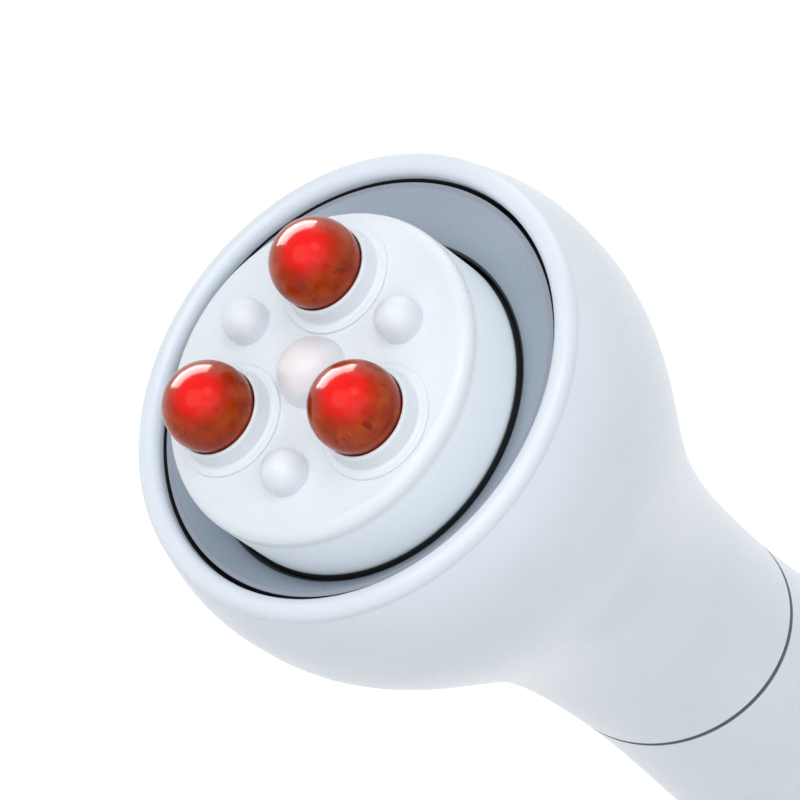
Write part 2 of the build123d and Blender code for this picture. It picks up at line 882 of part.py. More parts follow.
def drive_motor():
    """Motor: drawn can with rounded edges, front boss, rear boss and two terminals."""
    can = disc(motor_radius, motor_low, cover_low)
    can = fillet(can.edges().filter_by(GeomType.CIRCLE), motor_edge)
    can += disc(motor_boss, cover_low - merge, cover_low + motor_boss_height)
    can += disc(motor_boss, motor_low - motor_rear_height, motor_low + merge)
    terminal = Pos(0, 0, motor_low + merge) * Box(
        terminal_width, terminal_thickness, terminal_length, align=(Align.CENTER, Align.CENTER, Align.MAX)
    )
    can += [Pos(x, 0, 0) * terminal for x in (-terminal_x, terminal_x)]
    bore_low = motor_low + motor_shaft_sunk - 2 * fit_gap
    can -= disc(motor_shaft_radius + shaft_gap, bore_low, cover_low + motor_boss_height)
    pilot = disc(screw_shank, cover_low - motor_screw_bite - 2 * fit_gap, cover_low)
    return drum_place * (can - around(pilot, motor_screw_ring, motor_screw_angles))


def motor_shaft():
    """Motor's steel shaft, up through the sun pinion."""
    return drum_place * disc(motor_shaft_radius, motor_low + motor_shaft_sunk, gear_high)


# Waist

def neck_coupler():
    """Sleeve inside the waist that joins neck and handle, with a collar in the seam."""
    half_x = waist_half_x - shell_wall - fit_gap
    half_y = waist_half_y - shell_wall - fit_gap
    inset = seal_inset + seal_wall
    low = waist_z - coupler_reach
    high = waist_z + coupler_reach
    collar = oval(waist_half_x - inset, waist_half_y - inset, seam_low, seam_high)
    bore = oval(half_x - coupler_wall, half_y - coupler_wall, low, high)
    return oval(half_x, half_y, low, high) + collar - bore


def waist_seal():
    """Dark ring in the seam between neck and handle."""
    inset = seal_inset + seal_wall
    band = oval(waist_half_x - seal_inset, waist_half_y - seal_inset, seam_low, seam_high)
    return band - oval(waist_half_x - inset, waist_half_y - inset, seam_low, seam_high)


# Handle

def stadium(width, length, centre_z, low_y, high_y):
    """Round-ended bar seen from the front, between two levels of Y."""
    outline = Plane.XZ * Pos(0, centre_z) * Rot(0, 0, 90) * SlotOverall(length, width)
    return Pos(0, high_y, 0) * extrude(outline, high_y - low_y)


def peg(radius, z, low_y, high_y):
    """Round peg along Y at a level of Z, between two levels of Y."""
    return Pos(0, high_y, z) * Rot(90, 0, 0) * Cylinder(
        radius, high_y - low_y, align=(Align.CENTER, Align.CENTER, Align.MIN)
    )


def front_y(z):
    """Y of the handle's front face."""
    return -(waist_half_y + grip(z))


def control_holes():
    """What the front wall leaves free: a hole for each button and the slot of the light bar."""
    holes = [peg(button_radius + button_gap, z, outside_y, inside_y) for z in button_places.values()]
    return holes + [stadium(lens_width, lens_length, lens_place, outside_y, inside_y)]


def handle_shell():
    """One-piece sleeve of the handle with the panel's seat, button holes and tail screw bosses."""
    shell = handle_solid(tail_length, seam_low, 0)
    shell -= handle_solid(tail_length - cut_past, seam_low + cut_past, shell_wall)
    seat = stadium(panel_width + 2 * fit_gap, panel_length + 2 * fit_gap, panel_centre, outside_y, 0)
    shell -= seat - handle_solid(tail_length, seam_low, panel_thickness - panel_proud)
    return shell - control_holes() + tail_bosses()


def tail_bosses():
    """Columns for the tail's screws, webbed to the sleeve's wall."""
    high = tail_boss_low + tail_boss_height
    column = disc(boss_radius, tail_boss_low, high) - disc(screw_shank, tail_boss_low, high)
    web_start = screw_shank + fit_gap
    web_end = waist_half_y + grip(tail_length) - shell_wall / 2 - tail_screw_y
    web = Pos(0, web_start, tail_boss_low) * Box(
        rib_thickness, web_end - web_start, tail_boss_height, align=(Align.CENTER, Align.MIN, Align.MIN)
    )
    half = Pos(0, tail_screw_y, 0) * (column + web)
    return [half, Rot(0, 0, 180) * half]


def control_panel():
    """Inlay that follows the handle's face, with the button holes and the lens slot."""
    skin = handle_solid(tail_length, seam_low, -panel_proud)
    skin -= handle_solid(tail_length, seam_low, panel_thickness - panel_proud)
    return (skin & stadium(panel_width, panel_length, panel_centre, outside_y, inside_y)) - control_holes()


def button(z):
    """Round push button: domed cap, flange inside the curved wall and a stem to its switch."""
    flange_y = front_y(z) + flange_depth
    cap = peg(button_radius, z, front_y(z) - button_proud, flange_y)
    cap = fillet(cap.edges().filter_by(GeomType.CIRCLE).sort_by(Axis.Y)[0], button_round)
    flange = peg(button_radius + flange_width, z, flange_y, flange_y + flange_thickness)
    stem = peg(plunger_radius, z, flange_y, switch_top_y - plunger_rise)
    return cap + flange + stem


def plunger(z):
    """Switch's own plunger, carried by the button."""
    return peg(plunger_radius, z, switch_top_y - plunger_rise, switch_top_y + plunger_sunk)


def tact_switches():
    """Three push switches on the board, each with a well for its plunger."""
    well_end = switch_top_y + plunger_sunk + button_travel + 2 * fit_gap
    bodies = []
    for z in button_places.values():
        body = Pos(0, (switch_top_y + switch_low_y) / 2, z) * Box(switch_side, switch_height, switch_side)
        bodies.append(body - peg(plunger_radius + fit_gap, z, switch_top_y, well_end))
    return joined(bodies)


def indicator_lens():
    """Clear light bar that fills the panel's slot and guides the light from the diodes."""
    end_y = diode_top_y - move_gap
    bar = stadium(lens_width - fit_gap, lens_length - fit_gap, lens_place, outside_y, end_y)
    return bar & handle_solid(lens_place - lens_length, lens_place + lens_length, -panel_proud)


def indicator_diodes():
    """Small light sources behind the lens."""
    diode = Pos(0, (diode_top_y + switch_low_y) / 2, lens_place) * Box(diode_side, diode_height, diode_side)
    return joined([Pos(0, 0, offset) * diode for offset in (-diode_pitch, 0, diode_pitch)])


# Board, tray and cells

def board_fixings():
    """Screw places of the board, near its four corners."""
    edge_x = board_width / 2 - board_inset_x
    levels = (board_low + board_inset_z, board_high - board_inset_z)
    return [(x, z) for x in (-edge_x, edge_x) for z in levels]


def main_board():
    """Circuit board behind the switches."""
    centre_z = (board_low + board_high) / 2
    board = Pos(0, board_middle_y, centre_z) * Box(board_width, board_thickness, board_length)
    for x, z in board_fixings():
        board -= Pos(x, 0, z) * peg(screw_hole, 0, switch_low_y - cut_past, board_y + cut_past)
    return board


def board_screws():
    """Screws that hold the board on the tray's posts."""
    fastener = Rot(90, 0, 0) * screw(board_thickness + board_screw_bite)
    return joined([Pos(x, switch_low_y, z) * fastener for x, z in board_fixings()])


def battery_tray():
    """Cradle that carries the cells behind and the board in front."""
    low = cell_low - tray_wall - fit_gap
    high = cell_low + cell_length + tray_wall + fit_gap
    front = tray_y - tray_wall
    tray = Pos(0, front + tray_wall / 2, (low + high) / 2) * Box(tray_width, tray_wall, high - low)
    for z in (low + tray_wall / 2, high - tray_wall / 2):
        tray += Pos(0, front + tray_end_depth / 2, z) * Box(tray_end_width, tray_end_depth, tray_wall)
    for x, z in board_fixings():
        tray += Pos(x, 0, z) * peg(board_post_radius, 0, board_y, front + merge)
        tray -= Pos(x, 0, z) * peg(screw_shank, 0, board_y, board_y + board_screw_bite + 2 * fit_gap)
    return tray


def battery_cells():
    """Two round cells side by side."""
    can_high = cell_low + cell_length - cell_tip_height
    can = disc(cell_radius, cell_low, can_high)
    can = fillet(can.edges().filter_by(GeomType.CIRCLE), cell_edge)
    can += disc(cell_tip_radius, can_high - merge, cell_low + cell_length)
    side = cell_radius + fit_gap
    return joined([Pos(x, cell_y, 0) * can for x in (-side, side)])


def lead(points, bend):
    """Round lead along a path of straight runs with rounded corners."""
    start = Plane(origin=points[0], z_dir=Vector(*points[1]) - Vector(*points[0]))
    return sweep(start * Circle(lead_radius), path=FilletPolyline(*points, radius=bend))


def motor_leads():
    """Two leads from the motor's terminals down the neck to the board's top edge."""
    beside = terminal_thickness / 2 + lead_radius + shaft_gap
    leads = []
    for side in (-1, 1):
        start = (drum_place * Pos(side * terminal_x, beside, motor_low - terminal_length * 0.75)).position
        points = [
            (start.X, start.Y, start.Z),
            (start.X, start.Y, waist_z + motor_lead_top),
            (side * motor_lead_x, board_middle_y, waist_z + motor_lead_end),
            (side * motor_lead_x, board_middle_y, board_high),
        ]
        leads.append(lead(points, motor_lead_bend))
    return joined(leads)


# Tail

def tail_outline(inset):
    """Outline of the handle at its lower end."""
    return Ellipse(waist_half_x + grip(tail_length) - inset, waist_half_y + grip(tail_length) - inset)


def pad_outline(inset):
    """Oval pad with a window round the charging slot."""
    window = SlotOverall(port_width + 2 * (port_margin + inset), port_height + port_margin + 2 * inset)
    return tail_outline(tail_edge + pad_margin + inset) - window


def tail_cap():
    """End cap with a rounded edge, a spigot into the sleeve, the pad's seat and the charging slot."""
    spigot_inset = shell_wall + fit_gap
    high = tail_length + tail_spigot
    block = extrude(Pos(0, 0, pad_seat) * tail_outline(0), tail_length - pad_seat)
    block = fillet(block.edges().group_by(Axis.Z)[0], tail_edge)
    block += extrude(Pos(0, 0, tail_length) * tail_outline(spigot_inset), tail_spigot)
    inside = tail_outline(spigot_inset + tail_spigot_wall)
    block -= extrude(Pos(0, 0, pad_thickness + tail_floor) * inside, high)
    block -= extrude(Pos(0, 0, pad_seat) * pad_outline(0), pad_proud)
    slot = RectangleRounded(port_width + 2 * port_wall, port_height + 2 * port_wall, port_corner + fit_gap)
    block -= Pos(0, 0, pad_seat) * extrude(slot, port_low + tail_floor)
    web_slot = Pos(0, boss_radius, tail_boss_low) * Box(
        rib_thickness + 4 * fit_gap, tail_screw_y, high, align=(Align.CENTER, Align.MIN, Align.MIN)
    )
    column = disc(boss_radius, pad_thickness + merge, tail_boss_low)
    column -= disc(screw_hole, 0, high)
    column -= disc(head_hole, 0, pad_thickness + screw_head_height)
    hollow = disc(screw_hole, 0, high) + disc(head_hole, 0, pad_thickness + screw_head_height)
    hollow += disc(boss_radius + fit_gap, tail_boss_low, high) + web_slot
    for turn in (0, 180):
        block -= Rot(0, 0, turn) * Pos(0, tail_screw_y, 0) * hollow
        block += Rot(0, 0, turn) * Pos(0, tail_screw_y, 0) * column
    post = disc(charge_post_radius, pad_thickness + merge, charge_board_z)
    return block + [Pos(x, 0, 0) * post for x in (-charge_post_x, charge_post_x)]


def base_pad():
    """Soft pad the massager stands on, over the tail's screws."""
    return extrude(pad_outline(fit_gap), pad_thickness)


def tail_screws():
    """Screws up through the tail cap, hidden by the pad."""
    level = pad_thickness + screw_head_height
    fastener = Pos(0, 0, level) * Rot(180, 0, 0) * screw(tail_length + tail_screw_reach)
    return joined([Pos(0, y, 0) * fastener for y in (-tail_screw_y, tail_screw_y)])


def charge_port():
    """Drawn metal shell of the charging socket."""
    outer = RectangleRounded(port_width, port_height, port_corner)
    inner = offset(outer, -port_wall)
    shell = extrude(Pos(0, 0, port_low) * (outer - inner), port_length)
    return shell + extrude(Pos(0, 0, charge_board_z - port_back) * outer, port_back)


def port_tongue():
    """Contact tongue in the middle of the socket."""
    tongue = extrude(Rectangle(tongue_width, tongue_thickness), tongue_length)
    return Pos(0, 0, port_low + tongue_recess) * tongue


def charge_board():
    """Small board that carries the charging socket above the tail's floor."""
    outline = RectangleRounded(charge_board_width, charge_board_depth, charge_board_corner)
    return extrude(Pos(0, 0, charge_board_z) * outline, charge_board_thickness)


def battery_leads():
    """Two leads from the charging board up to the main board's lower edge."""
    leads = []
    for side in (-1, 1):
        x = side * charge_lead_side
        points = [
            (x, -charge_lead_side, charge_board_top),
            (x, -charge_lead_side, charge_board_top + charge_lead_end),
            (x, board_middle_y, board_low - charge_lead_end),
            (x, board_middle_y, board_low),
        ]
        leads.append(lead(points, charge_lead_bend))
    return joined(leads)


nodes = {
    "front_cowl": front_cowl(),
    "rear_housing": rear_housing(),
    "bezel_ring": bezel_ring(),
    "cowl_screws": cowl_screws(),
    "kneading_drum": kneading_drum(),
    "stone_heaters": stone_heaters(),
    "heater_leads": heater_leads(),
    "drum_carrier": drum_carrier(),
    "drum_screws": drum_screws(),
    "slip_ring": slip_ring(),
    "slip_tracks": slip_tracks(),
    "brush_block": brush_block(),
    "brush_pins": brush_pins(),
    "output_shaft": output_shaft(),
    "shaft_spacer": shaft_spacer(),
    "shaft_bush": shaft_bush(),
    "gearbox_case": gearbox_case(),
    "ring_gear": ring_gear(),
    "planet_carrier": planet_carrier(),
    "planet_pins": planet_pins(),
    "sun_pinion": sun_pinion(),
    "motor_shaft": motor_shaft(),
    "gearbox_cover": gearbox_cover(),
    "gearbox_screws": gearbox_screws(),
    "drive_motor": drive_motor(),
    "motor_screws": motor_screws(),
    "motor_leads": motor_leads(),
    "neck_coupler": neck_coupler(),
    "waist_seal": waist_seal(),
    "handle_shell": handle_shell(),
    "control_panel": control_panel(),
    "indicator_lens": indicator_lens(),
    "indicator_diodes": indicator_diodes(),
    "tact_switches": tact_switches(),
    "main_board": main_board(),
    "board_screws": board_screws(),
    "battery_tray": battery_tray(),
    "battery_cells": battery_cells(),
    "battery_leads": battery_leads(),
    "charge_board": charge_board(),
    "charge_port": charge_port(),
    "port_tongue": port_tongue(),
    "tail_cap": tail_cap(),
    "tail_screws": tail_screws(),
    "base_pad": base_pad(),
}
for index in range(stone_count):
    nodes[f"hot_stone_{index + 1}"] = hot_stone(index)
    nodes[f"planet_gear_{index + 1}"] = planet_gear(index)
for name, z in button_places.items():
    nodes[name] = button(z)
    nodes[name.replace("button", "plunger")] = plunger(z)

os.makedirs("parts", exist_ok=True)
for name, shape in nodes.items():
    export_step(shape, f"parts/{name}.step")
print(len(nodes), "nodes written")
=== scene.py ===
# %% [markdown]
# Hot stone massager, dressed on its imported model.
#
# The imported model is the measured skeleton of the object: every piece is already at its real size
# and in its real place. This lesson gives each of those pieces the finish that it has in the
# hand, adds the small signs and contacts that are moulded or pressed into it, and lights it like
# a product picture. All lengths are metres, in the frame of the model: +Z runs up the handle to
# the head, -Y is the front with the buttons, and +X is on the right of someone who looks at them.

import json
import math

import bmesh
import bpy
from mathutils import Matrix, Vector


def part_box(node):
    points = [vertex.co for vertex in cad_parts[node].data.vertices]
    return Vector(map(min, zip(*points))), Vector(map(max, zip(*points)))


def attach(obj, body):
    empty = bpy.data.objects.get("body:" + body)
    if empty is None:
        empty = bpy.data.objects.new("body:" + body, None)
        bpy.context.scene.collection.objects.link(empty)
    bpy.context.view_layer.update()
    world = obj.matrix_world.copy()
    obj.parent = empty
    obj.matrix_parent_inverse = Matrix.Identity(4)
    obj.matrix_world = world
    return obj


MM = 0.001

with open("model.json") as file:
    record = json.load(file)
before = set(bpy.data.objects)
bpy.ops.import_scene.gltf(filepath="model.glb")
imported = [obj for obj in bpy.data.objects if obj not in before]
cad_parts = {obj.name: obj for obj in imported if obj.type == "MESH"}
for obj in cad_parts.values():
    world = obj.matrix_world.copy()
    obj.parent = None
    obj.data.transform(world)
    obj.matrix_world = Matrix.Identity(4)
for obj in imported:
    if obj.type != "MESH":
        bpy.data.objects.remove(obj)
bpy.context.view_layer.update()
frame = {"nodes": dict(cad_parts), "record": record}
nodes = frame["nodes"]
bpy.context.scene.view_settings.view_transform = "Standard"
print("pieces in the frame:", len(nodes))

# %% [markdown]
# Directions round the object.
#
# Lamps and the camera stand somewhere round the head. Their places could be typed in as x, y and
# z, but a photographer thinks in two angles, so one helper turns an azimuth and an elevation into
# a direction. An azimuth of 0 is in front of the buttons, and the elevation is above the horizon.

# %% Directions
UP = Vector((0, 0, 1))
LIP_CENTRE = Vector((0.0, 0.0, 0.212))


def direction(azimuth, elevation):
    """A direction away from the object, from two angles in degrees."""
    turn = math.radians(azimuth)
    rise = math.radians(elevation)
    x = math.sin(turn) * math.cos(rise)
    y = -math.cos(turn) * math.cos(rise)
    return Vector((x, y, math.sin(rise)))


print("the front looks along", [round(c, 3) for c in direction(0, 0)])

# %% [markdown]
# The camera's angle.
#
# The picture looks down on the head from its right-hand side, and the camera is rolled until the
# handle leaves by the lower right corner. A camera could be aimed with a Track To constraint, but
# that always keeps the horizon level. So the three axes of the picture are worked out instead:
# level ones first, and then the same two turned by the roll.

# %% Axes of the picture
VIEW_AZIMUTH = 59.418
VIEW_ELEVATION = 48.947
VIEW_ROLL = math.radians(-51.749)

view_back = direction(VIEW_AZIMUTH, VIEW_ELEVATION)
level_right = UP.cross(view_back).normalized()
level_up = view_back.cross(level_right)
view_right = level_right * math.cos(VIEW_ROLL) + level_up * math.sin(VIEW_ROLL)
view_up = view_back.cross(view_right)
print("up in the picture is", [round(c, 3) for c in view_up])

# %% [markdown]
# The camera.
#
# A long lens from half a metre away keeps the head's circles calm. The middle of the lip lies
# close to the middle of the picture. Moving the camera by hand until it does would take many
# tries, so the camera's place is worked out backwards from where the lip appears.

# %% Camera
LIP_RIGHT = -7.89 * MM
LIP_UP = 2.96 * MM
LIP_AWAY = 541.65 * MM
SENSOR_WIDTH = 36.0
FOCAL_LENGTH = 157.5
SEEN_FROM = 10 * MM
SEEN_TO = 20.0


def make_camera():
    lens = bpy.data.cameras.new("camera")
    lens.sensor_width = SENSOR_WIDTH
    lens.lens = FOCAL_LENGTH
    lens.clip_start = SEEN_FROM
    lens.clip_end = SEEN_TO
    camera = bpy.data.objects.new("camera", lens)
    bpy.context.scene.collection.objects.link(camera)
    place = LIP_CENTRE - view_right * LIP_RIGHT - view_up * LIP_UP + view_back * LIP_AWAY
    turn = Matrix((view_right, view_up, view_back)).transposed().to_4x4()
    camera.matrix_world = Matrix.Translation(place) @ turn
    bpy.context.scene.camera = camera
    return place


print("camera stands at", [round(c, 3) for c in make_camera()])

# %% [markdown]
# Steps of a node graph.
#
# The room, the floor and every finish are small graphs of nodes. They could each be wired by
# hand, node by node, but the same few steps come back all the time. One short helper for each
# step keeps the later cells readable: it makes the node, feeds it and hands over its output.


# %% Node steps
def feed(tree, socket, value):
    """Links another node's output to a socket, or writes a plain value into it."""
    if isinstance(value, bpy.types.NodeSocket):
        tree.links.new(value, socket)
    else:
        socket.default_value = value


def math_step(tree, operation, first, second=0.0):
    step = tree.nodes.new("ShaderNodeMath")
    step.operation = operation
    feed(tree, step.inputs[0], first)
    feed(tree, step.inputs[1], second)
    return step.outputs["Value"]


def vector_step(tree, operation, first, second=(0, 0, 0), output="Vector"):
    step = tree.nodes.new("ShaderNodeVectorMath")
    step.operation = operation
    feed(tree, step.inputs[0], first)
    feed(tree, step.inputs[1], second)
    return step.outputs[output]


def map_range(tree, value, start, end, low, high, change="LINEAR"):
    """Maps the run from start to end onto low to high, and stays there beyond both ends."""
    fit = tree.nodes.new("ShaderNodeMapRange")
    fit.interpolation_type = change
    fit.inputs["From Min"].default_value = start
    fit.inputs["From Max"].default_value = end
    fit.inputs["To Min"].default_value = low
    fit.inputs["To Max"].default_value = high
    tree.links.new(value, fit.inputs["Value"])
    return fit.outputs["Result"]


def object_place(tree):
    """The place of each point in the piece's own coordinates, which stay with it as it moves."""
    return tree.nodes.new("ShaderNodeTexCoord").outputs["Object"]


# %% [markdown]
# The room round the object.
#
# A product picture is taken in a bright room in front of white paper. The paper has to look plain
# white without washing out the white shells. Stronger lamps would do the first and spoil the
# second. So the world is two things: a soft, slightly cool room that lights the object, and white
# paper for the rays that look at the background, also in a reflection or through glass.


# %% Rays that see the background
def background_rays(tree):
    """1 on the rays that look at the background, at its reflection or at it through glass."""
    path = tree.nodes.new("ShaderNodeLightPath")
    seen = math_step(tree, "MAXIMUM", path.outputs["Is Camera Ray"], path.outputs["Is Glossy Ray"])
    return math_step(tree, "MAXIMUM", seen, path.outputs["Is Transmission Ray"])


# %% World
ROOM_COLOUR = (0.92, 0.97, 1.0, 1)
ROOM_LEVEL = 0.36
PAPER_COLOUR = (1, 1, 1, 1)
PAPER_LEVEL = 1.0


def surroundings(tree, colour, level):
    light = tree.nodes.new("ShaderNodeBackground")
    light.inputs["Color"].default_value = colour
    light.inputs["Strength"].default_value = level
    return light.outputs["Background"]


def make_world():
    world = bpy.data.worlds.new("studio")
    world.use_nodes = True
    bpy.context.scene.world = world
    tree = world.node_tree
    tree.nodes.clear()
    choice = tree.nodes.new("ShaderNodeMixShader")
    tree.links.new(background_rays(tree), choice.inputs[0])
    tree.links.new(surroundings(tree, ROOM_COLOUR, ROOM_LEVEL), choice.inputs[1])
    tree.links.new(surroundings(tree, PAPER_COLOUR, PAPER_LEVEL), choice.inputs[2])
    out = tree.nodes.new("ShaderNodeOutputWorld")
    tree.links.new(choice.outputs[0], out.inputs["Surface"])
    return world


print("world nodes:", len(make_world().node_tree.nodes))

# %% [markdown]
# Soft boxes.
#
# White plastic needs large soft lamps, or its curves turn into hard highlights. Spot or point
# lamps could light it too, but round area lamps shade the bulb as evenly as cloth boxes in a
# studio. Most of the light falls from above, and weaker boxes open up the front, the left and the
# back. A lamp's power is worked out from the plain light that it should add, whatever its
# distance.

# %% Soft boxes
LAMP_DISTANCE = 1.0
LARGE_BOX = 0.8
SMALL_BOX = 0.35
ROUND_BOXES = (
    # name, azimuth, elevation, size, level
    ("top_box", 0, 85, LARGE_BOX, 0.36),
    ("right_box", 45, 45, LARGE_BOX, 0.20),
    ("side_box", 90, 45, LARGE_BOX, 0.18),
    ("high_box", 124, 58, SMALL_BOX, 0.10),
    ("low_box", 85, 8, LARGE_BOX, 0.04),
    ("front_box", 0, 20, LARGE_BOX, 0.08),
    ("left_box", -90, 15, LARGE_BOX, 0.10),
    ("back_box", 180, 15, LARGE_BOX, 0.22),
)


def soft_box(name, azimuth, elevation, width, height, level, shape="ELLIPSE"):
    """A lamp that looks at the head and adds `level` of plain light to a face turned to it.

    Its width runs square to the line of sight, so a reflection of it lies along a ball's rim.
    """
    lamp = bpy.data.lights.new(name, "AREA")
    lamp.shape = shape
    lamp.size = width
    lamp.size_y = height
    lamp.energy = level * math.pi ** 2 * LAMP_DISTANCE ** 2
    box = bpy.data.objects.new(name, lamp)
    bpy.context.scene.collection.objects.link(box)
    away = direction(azimuth, elevation)
    along = view_back.cross(away).normalized()
    turn = Matrix((along, away.cross(along), away)).transposed().to_4x4()
    box.matrix_world = Matrix.Translation(LIP_CENTRE + away * LAMP_DISTANCE) @ turn
    return box


for box_name, box_azimuth, box_elevation, box_size, box_level in ROUND_BOXES:
    soft_box(box_name, box_azimuth, box_elevation, box_size, box_size, box_level)
print("soft boxes:", len(ROUND_BOXES))

# %% [markdown]
# The window.
#
# Polished stone shows what stands round it. In the picture a wide window behind the object leaves
# a long pale streak along the upper rim of each ball. The streak could be painted on the balls,
# but then it would turn with them. So the window is a lamp that is only there to be mirrored: it
# adds nothing to the diffuse light, and light linking keeps it off the satin shells.

# %% Window
BALL_NODES = ("hot_stone_1", "hot_stone_2", "hot_stone_3")
WINDOW_AZIMUTH = -141
WINDOW_ELEVATION = 18
WINDOW_WIDTH = 1.1
WINDOW_HEIGHT = 0.6
WINDOW_LEVEL = 4.8

window = soft_box(
    "window_box",
    WINDOW_AZIMUTH,
    WINDOW_ELEVATION,
    WINDOW_WIDTH,
    WINDOW_HEIGHT,
    WINDOW_LEVEL,
    shape="RECTANGLE",
)
window.visible_diffuse = False
polished = bpy.data.collections.new("polished")
for ball_node in BALL_NODES:
    polished.objects.link(nodes[ball_node])
window.light_linking.receiver_collection = polished

# %% [markdown]
# The floor.
#
# The object stands on the same white paper that hangs behind it. A shadow catcher would hide the
# paper altogether, but the soft shadow at the foot is part of the picture. So the floor is matte
# paper that also gives off light of its own, only for the rays that look at it. It gives less
# near the object, where the shadow has to show, and grows to full white far away, where it has to
# meet the background without a line.

# %% Floor paper
FLOOR_SHADE = 0.80
FLOOR_LIFT = 0.42
FLOOR_NEAR = 0.30
FLOOR_FAR = 1.20


def floor_paper():
    material = bpy.data.materials.new("floor_paper")
    material.use_nodes = True
    tree = material.node_tree
    tree.nodes.clear()
    matte = tree.nodes.new("ShaderNodeBsdfDiffuse")
    matte.inputs["Color"].default_value = (FLOOR_SHADE, FLOOR_SHADE, FLOOR_SHADE, 1)
    away = vector_step(tree, "LENGTH", object_place(tree), output="Value")
    lift = map_range(tree, away, FLOOR_NEAR, FLOOR_FAR, FLOOR_LIFT, PAPER_LEVEL, "SMOOTHSTEP")
    light = tree.nodes.new("ShaderNodeEmission")
    light.inputs["Color"].default_value = PAPER_COLOUR
    strength = math_step(tree, "MULTIPLY", background_rays(tree), lift)
    tree.links.new(strength, light.inputs["Strength"])
    total = tree.nodes.new("ShaderNodeAddShader")
    tree.links.new(matte.outputs[0], total.inputs[0])
    tree.links.new(light.outputs[0], total.inputs[1])
    out = tree.nodes.new("ShaderNodeOutputMaterial")
    tree.links.new(total.outputs[0], out.inputs["Surface"])
    return material


print("the floor's own light runs from", FLOOR_LIFT, "to", PAPER_LEVEL)

# %% Floor
FLOOR_HALF = 4.0
FLOOR_DROP = 0.2 * MM


def lay_floor():
    shape = bmesh.new()
    bmesh.ops.create_grid(shape, x_segments=1, y_segments=1, size=FLOOR_HALF)
    bmesh.ops.translate(shape, verts=shape.verts, vec=(0, 0, -FLOOR_DROP))
    mesh = bpy.data.meshes.new("floor")
    shape.to_mesh(mesh)
    shape.free()
    mesh.materials.append(floor_paper())
    floor = bpy.data.objects.new("floor", mesh)
    bpy.context.scene.collection.objects.link(floor)


lay_floor()
print("floor, metres across:", 2 * FLOOR_HALF)

# %% [markdown]
# What every finish shares.
#
# No real surface has one flat colour. Each finish here is a Principled shader whose colour,
# roughness and fine relief vary a little, at the scale that the real surface has. Photographs of
# surfaces would do this too, but a noise pattern needs no picture and has no seams. The patterns
# read Object coordinates, so they stay with a piece when it moves, and their scale is written as
# the size of one grain. One table keeps every finish under its name.

# %% A plain finish
finishes = {}


def new_finish(name, colour, roughness, metallic=0.0):
    material = bpy.data.materials.new(name)
    material.use_nodes = True
    shader = material.node_tree.nodes["Principled BSDF"]
    shader.inputs["Base Color"].default_value = (*colour, 1)
    shader.inputs["Roughness"].default_value = roughness
    shader.inputs["Metallic"].default_value = metallic
    finishes[name] = material
    return material.node_tree, shader


# %% Grain
GRAIN_LOW = 0.3
GRAIN_HIGH = 0.7


def grain(tree, size, detail, stretch=(1, 1, 1)):
    """Soft noise whose grains measure `size`. Most of it lies between GRAIN_LOW and GRAIN_HIGH."""
    scale = tree.nodes.new("ShaderNodeMapping")
    scale.inputs["Scale"].default_value = stretch
    noise = tree.nodes.new("ShaderNodeTexNoise")
    noise.inputs["Scale"].default_value = 1 / size
    noise.inputs["Detail"].default_value = detail
    tree.links.new(object_place(tree), scale.inputs["Vector"])
    tree.links.new(scale.outputs["Vector"], noise.inputs["Vector"])
    return noise.outputs["Fac"]


print("most of a grain lies between", GRAIN_LOW, "and", GRAIN_HIGH)


# %% Colour along a pattern
def colours(tree, pattern, *stops):
    """A colour ramp: each stop is (place, (r, g, b))."""
    ramp = tree.nodes.new("ShaderNodeValToRGB")
    band = ramp.color_ramp
    while len(band.elements) < len(stops):
        band.elements.new(0.5)
    for element, (place, colour) in zip(band.elements, stops):
        element.position = place
        element.color = (*colour, 1)
    tree.links.new(pattern, ramp.inputs["Fac"])
    return ramp.outputs["Color"]


def tinted(colour, factor):
    return tuple(min(1.0, channel * factor) for channel in colour)


def cloudy_colour(tree, shader, pattern, colour, shades):
    """Lets the base colour run between two shades of itself along the pattern."""
    darker, lighter = shades
    low_stop = (GRAIN_LOW, tinted(colour, darker))
    high_stop = (GRAIN_HIGH, tinted(colour, lighter))
    tree.links.new(colours(tree, pattern, low_stop, high_stop), shader.inputs["Base Color"])


# %% Roughness and relief along a pattern
def uneven_gloss(tree, shader, pattern, smoothest, roughest):
    gloss = map_range(tree, pattern, GRAIN_LOW, GRAIN_HIGH, smoothest, roughest)
    tree.links.new(gloss, shader.inputs["Roughness"])


def relief(tree, shader, pattern, depth):
    bump = tree.nodes.new("ShaderNodeBump")
    bump.inputs["Distance"].default_value = depth
    bump.inputs["Strength"].default_value = 1.0
    tree.links.new(pattern, bump.inputs["Height"])
    tree.links.new(bump.outputs["Normal"], shader.inputs["Normal"])


# %% [markdown]
# Moulded plastic.
#
# Shells, keys and inner frames come from injection moulds. Their colour is even to the eye, with
# a faint cloudiness from the flow of the melt, and the mould's spark-eroded or polished wall
# leaves a very fine relief. Each piece could have a graph of its own, but one function makes them
# all, because only the colour, the gloss and the depth of the grain differ. A coat is the
# mirror-like skin that a polished mould leaves.

# %% Moulded plastic
MELT_CLOUD = 18 * MM
MELT_SHADES = (0.975, 1.015)
MOULD_GRAIN = 0.25 * MM
MOULD_DEPTH = 0.004 * MM
MOULD_SMOOTHER = 0.04
MOULD_ROUGHER = 0.05
MOULD_DETAIL = 3.0
COAT_ROUGHNESS = 0.12


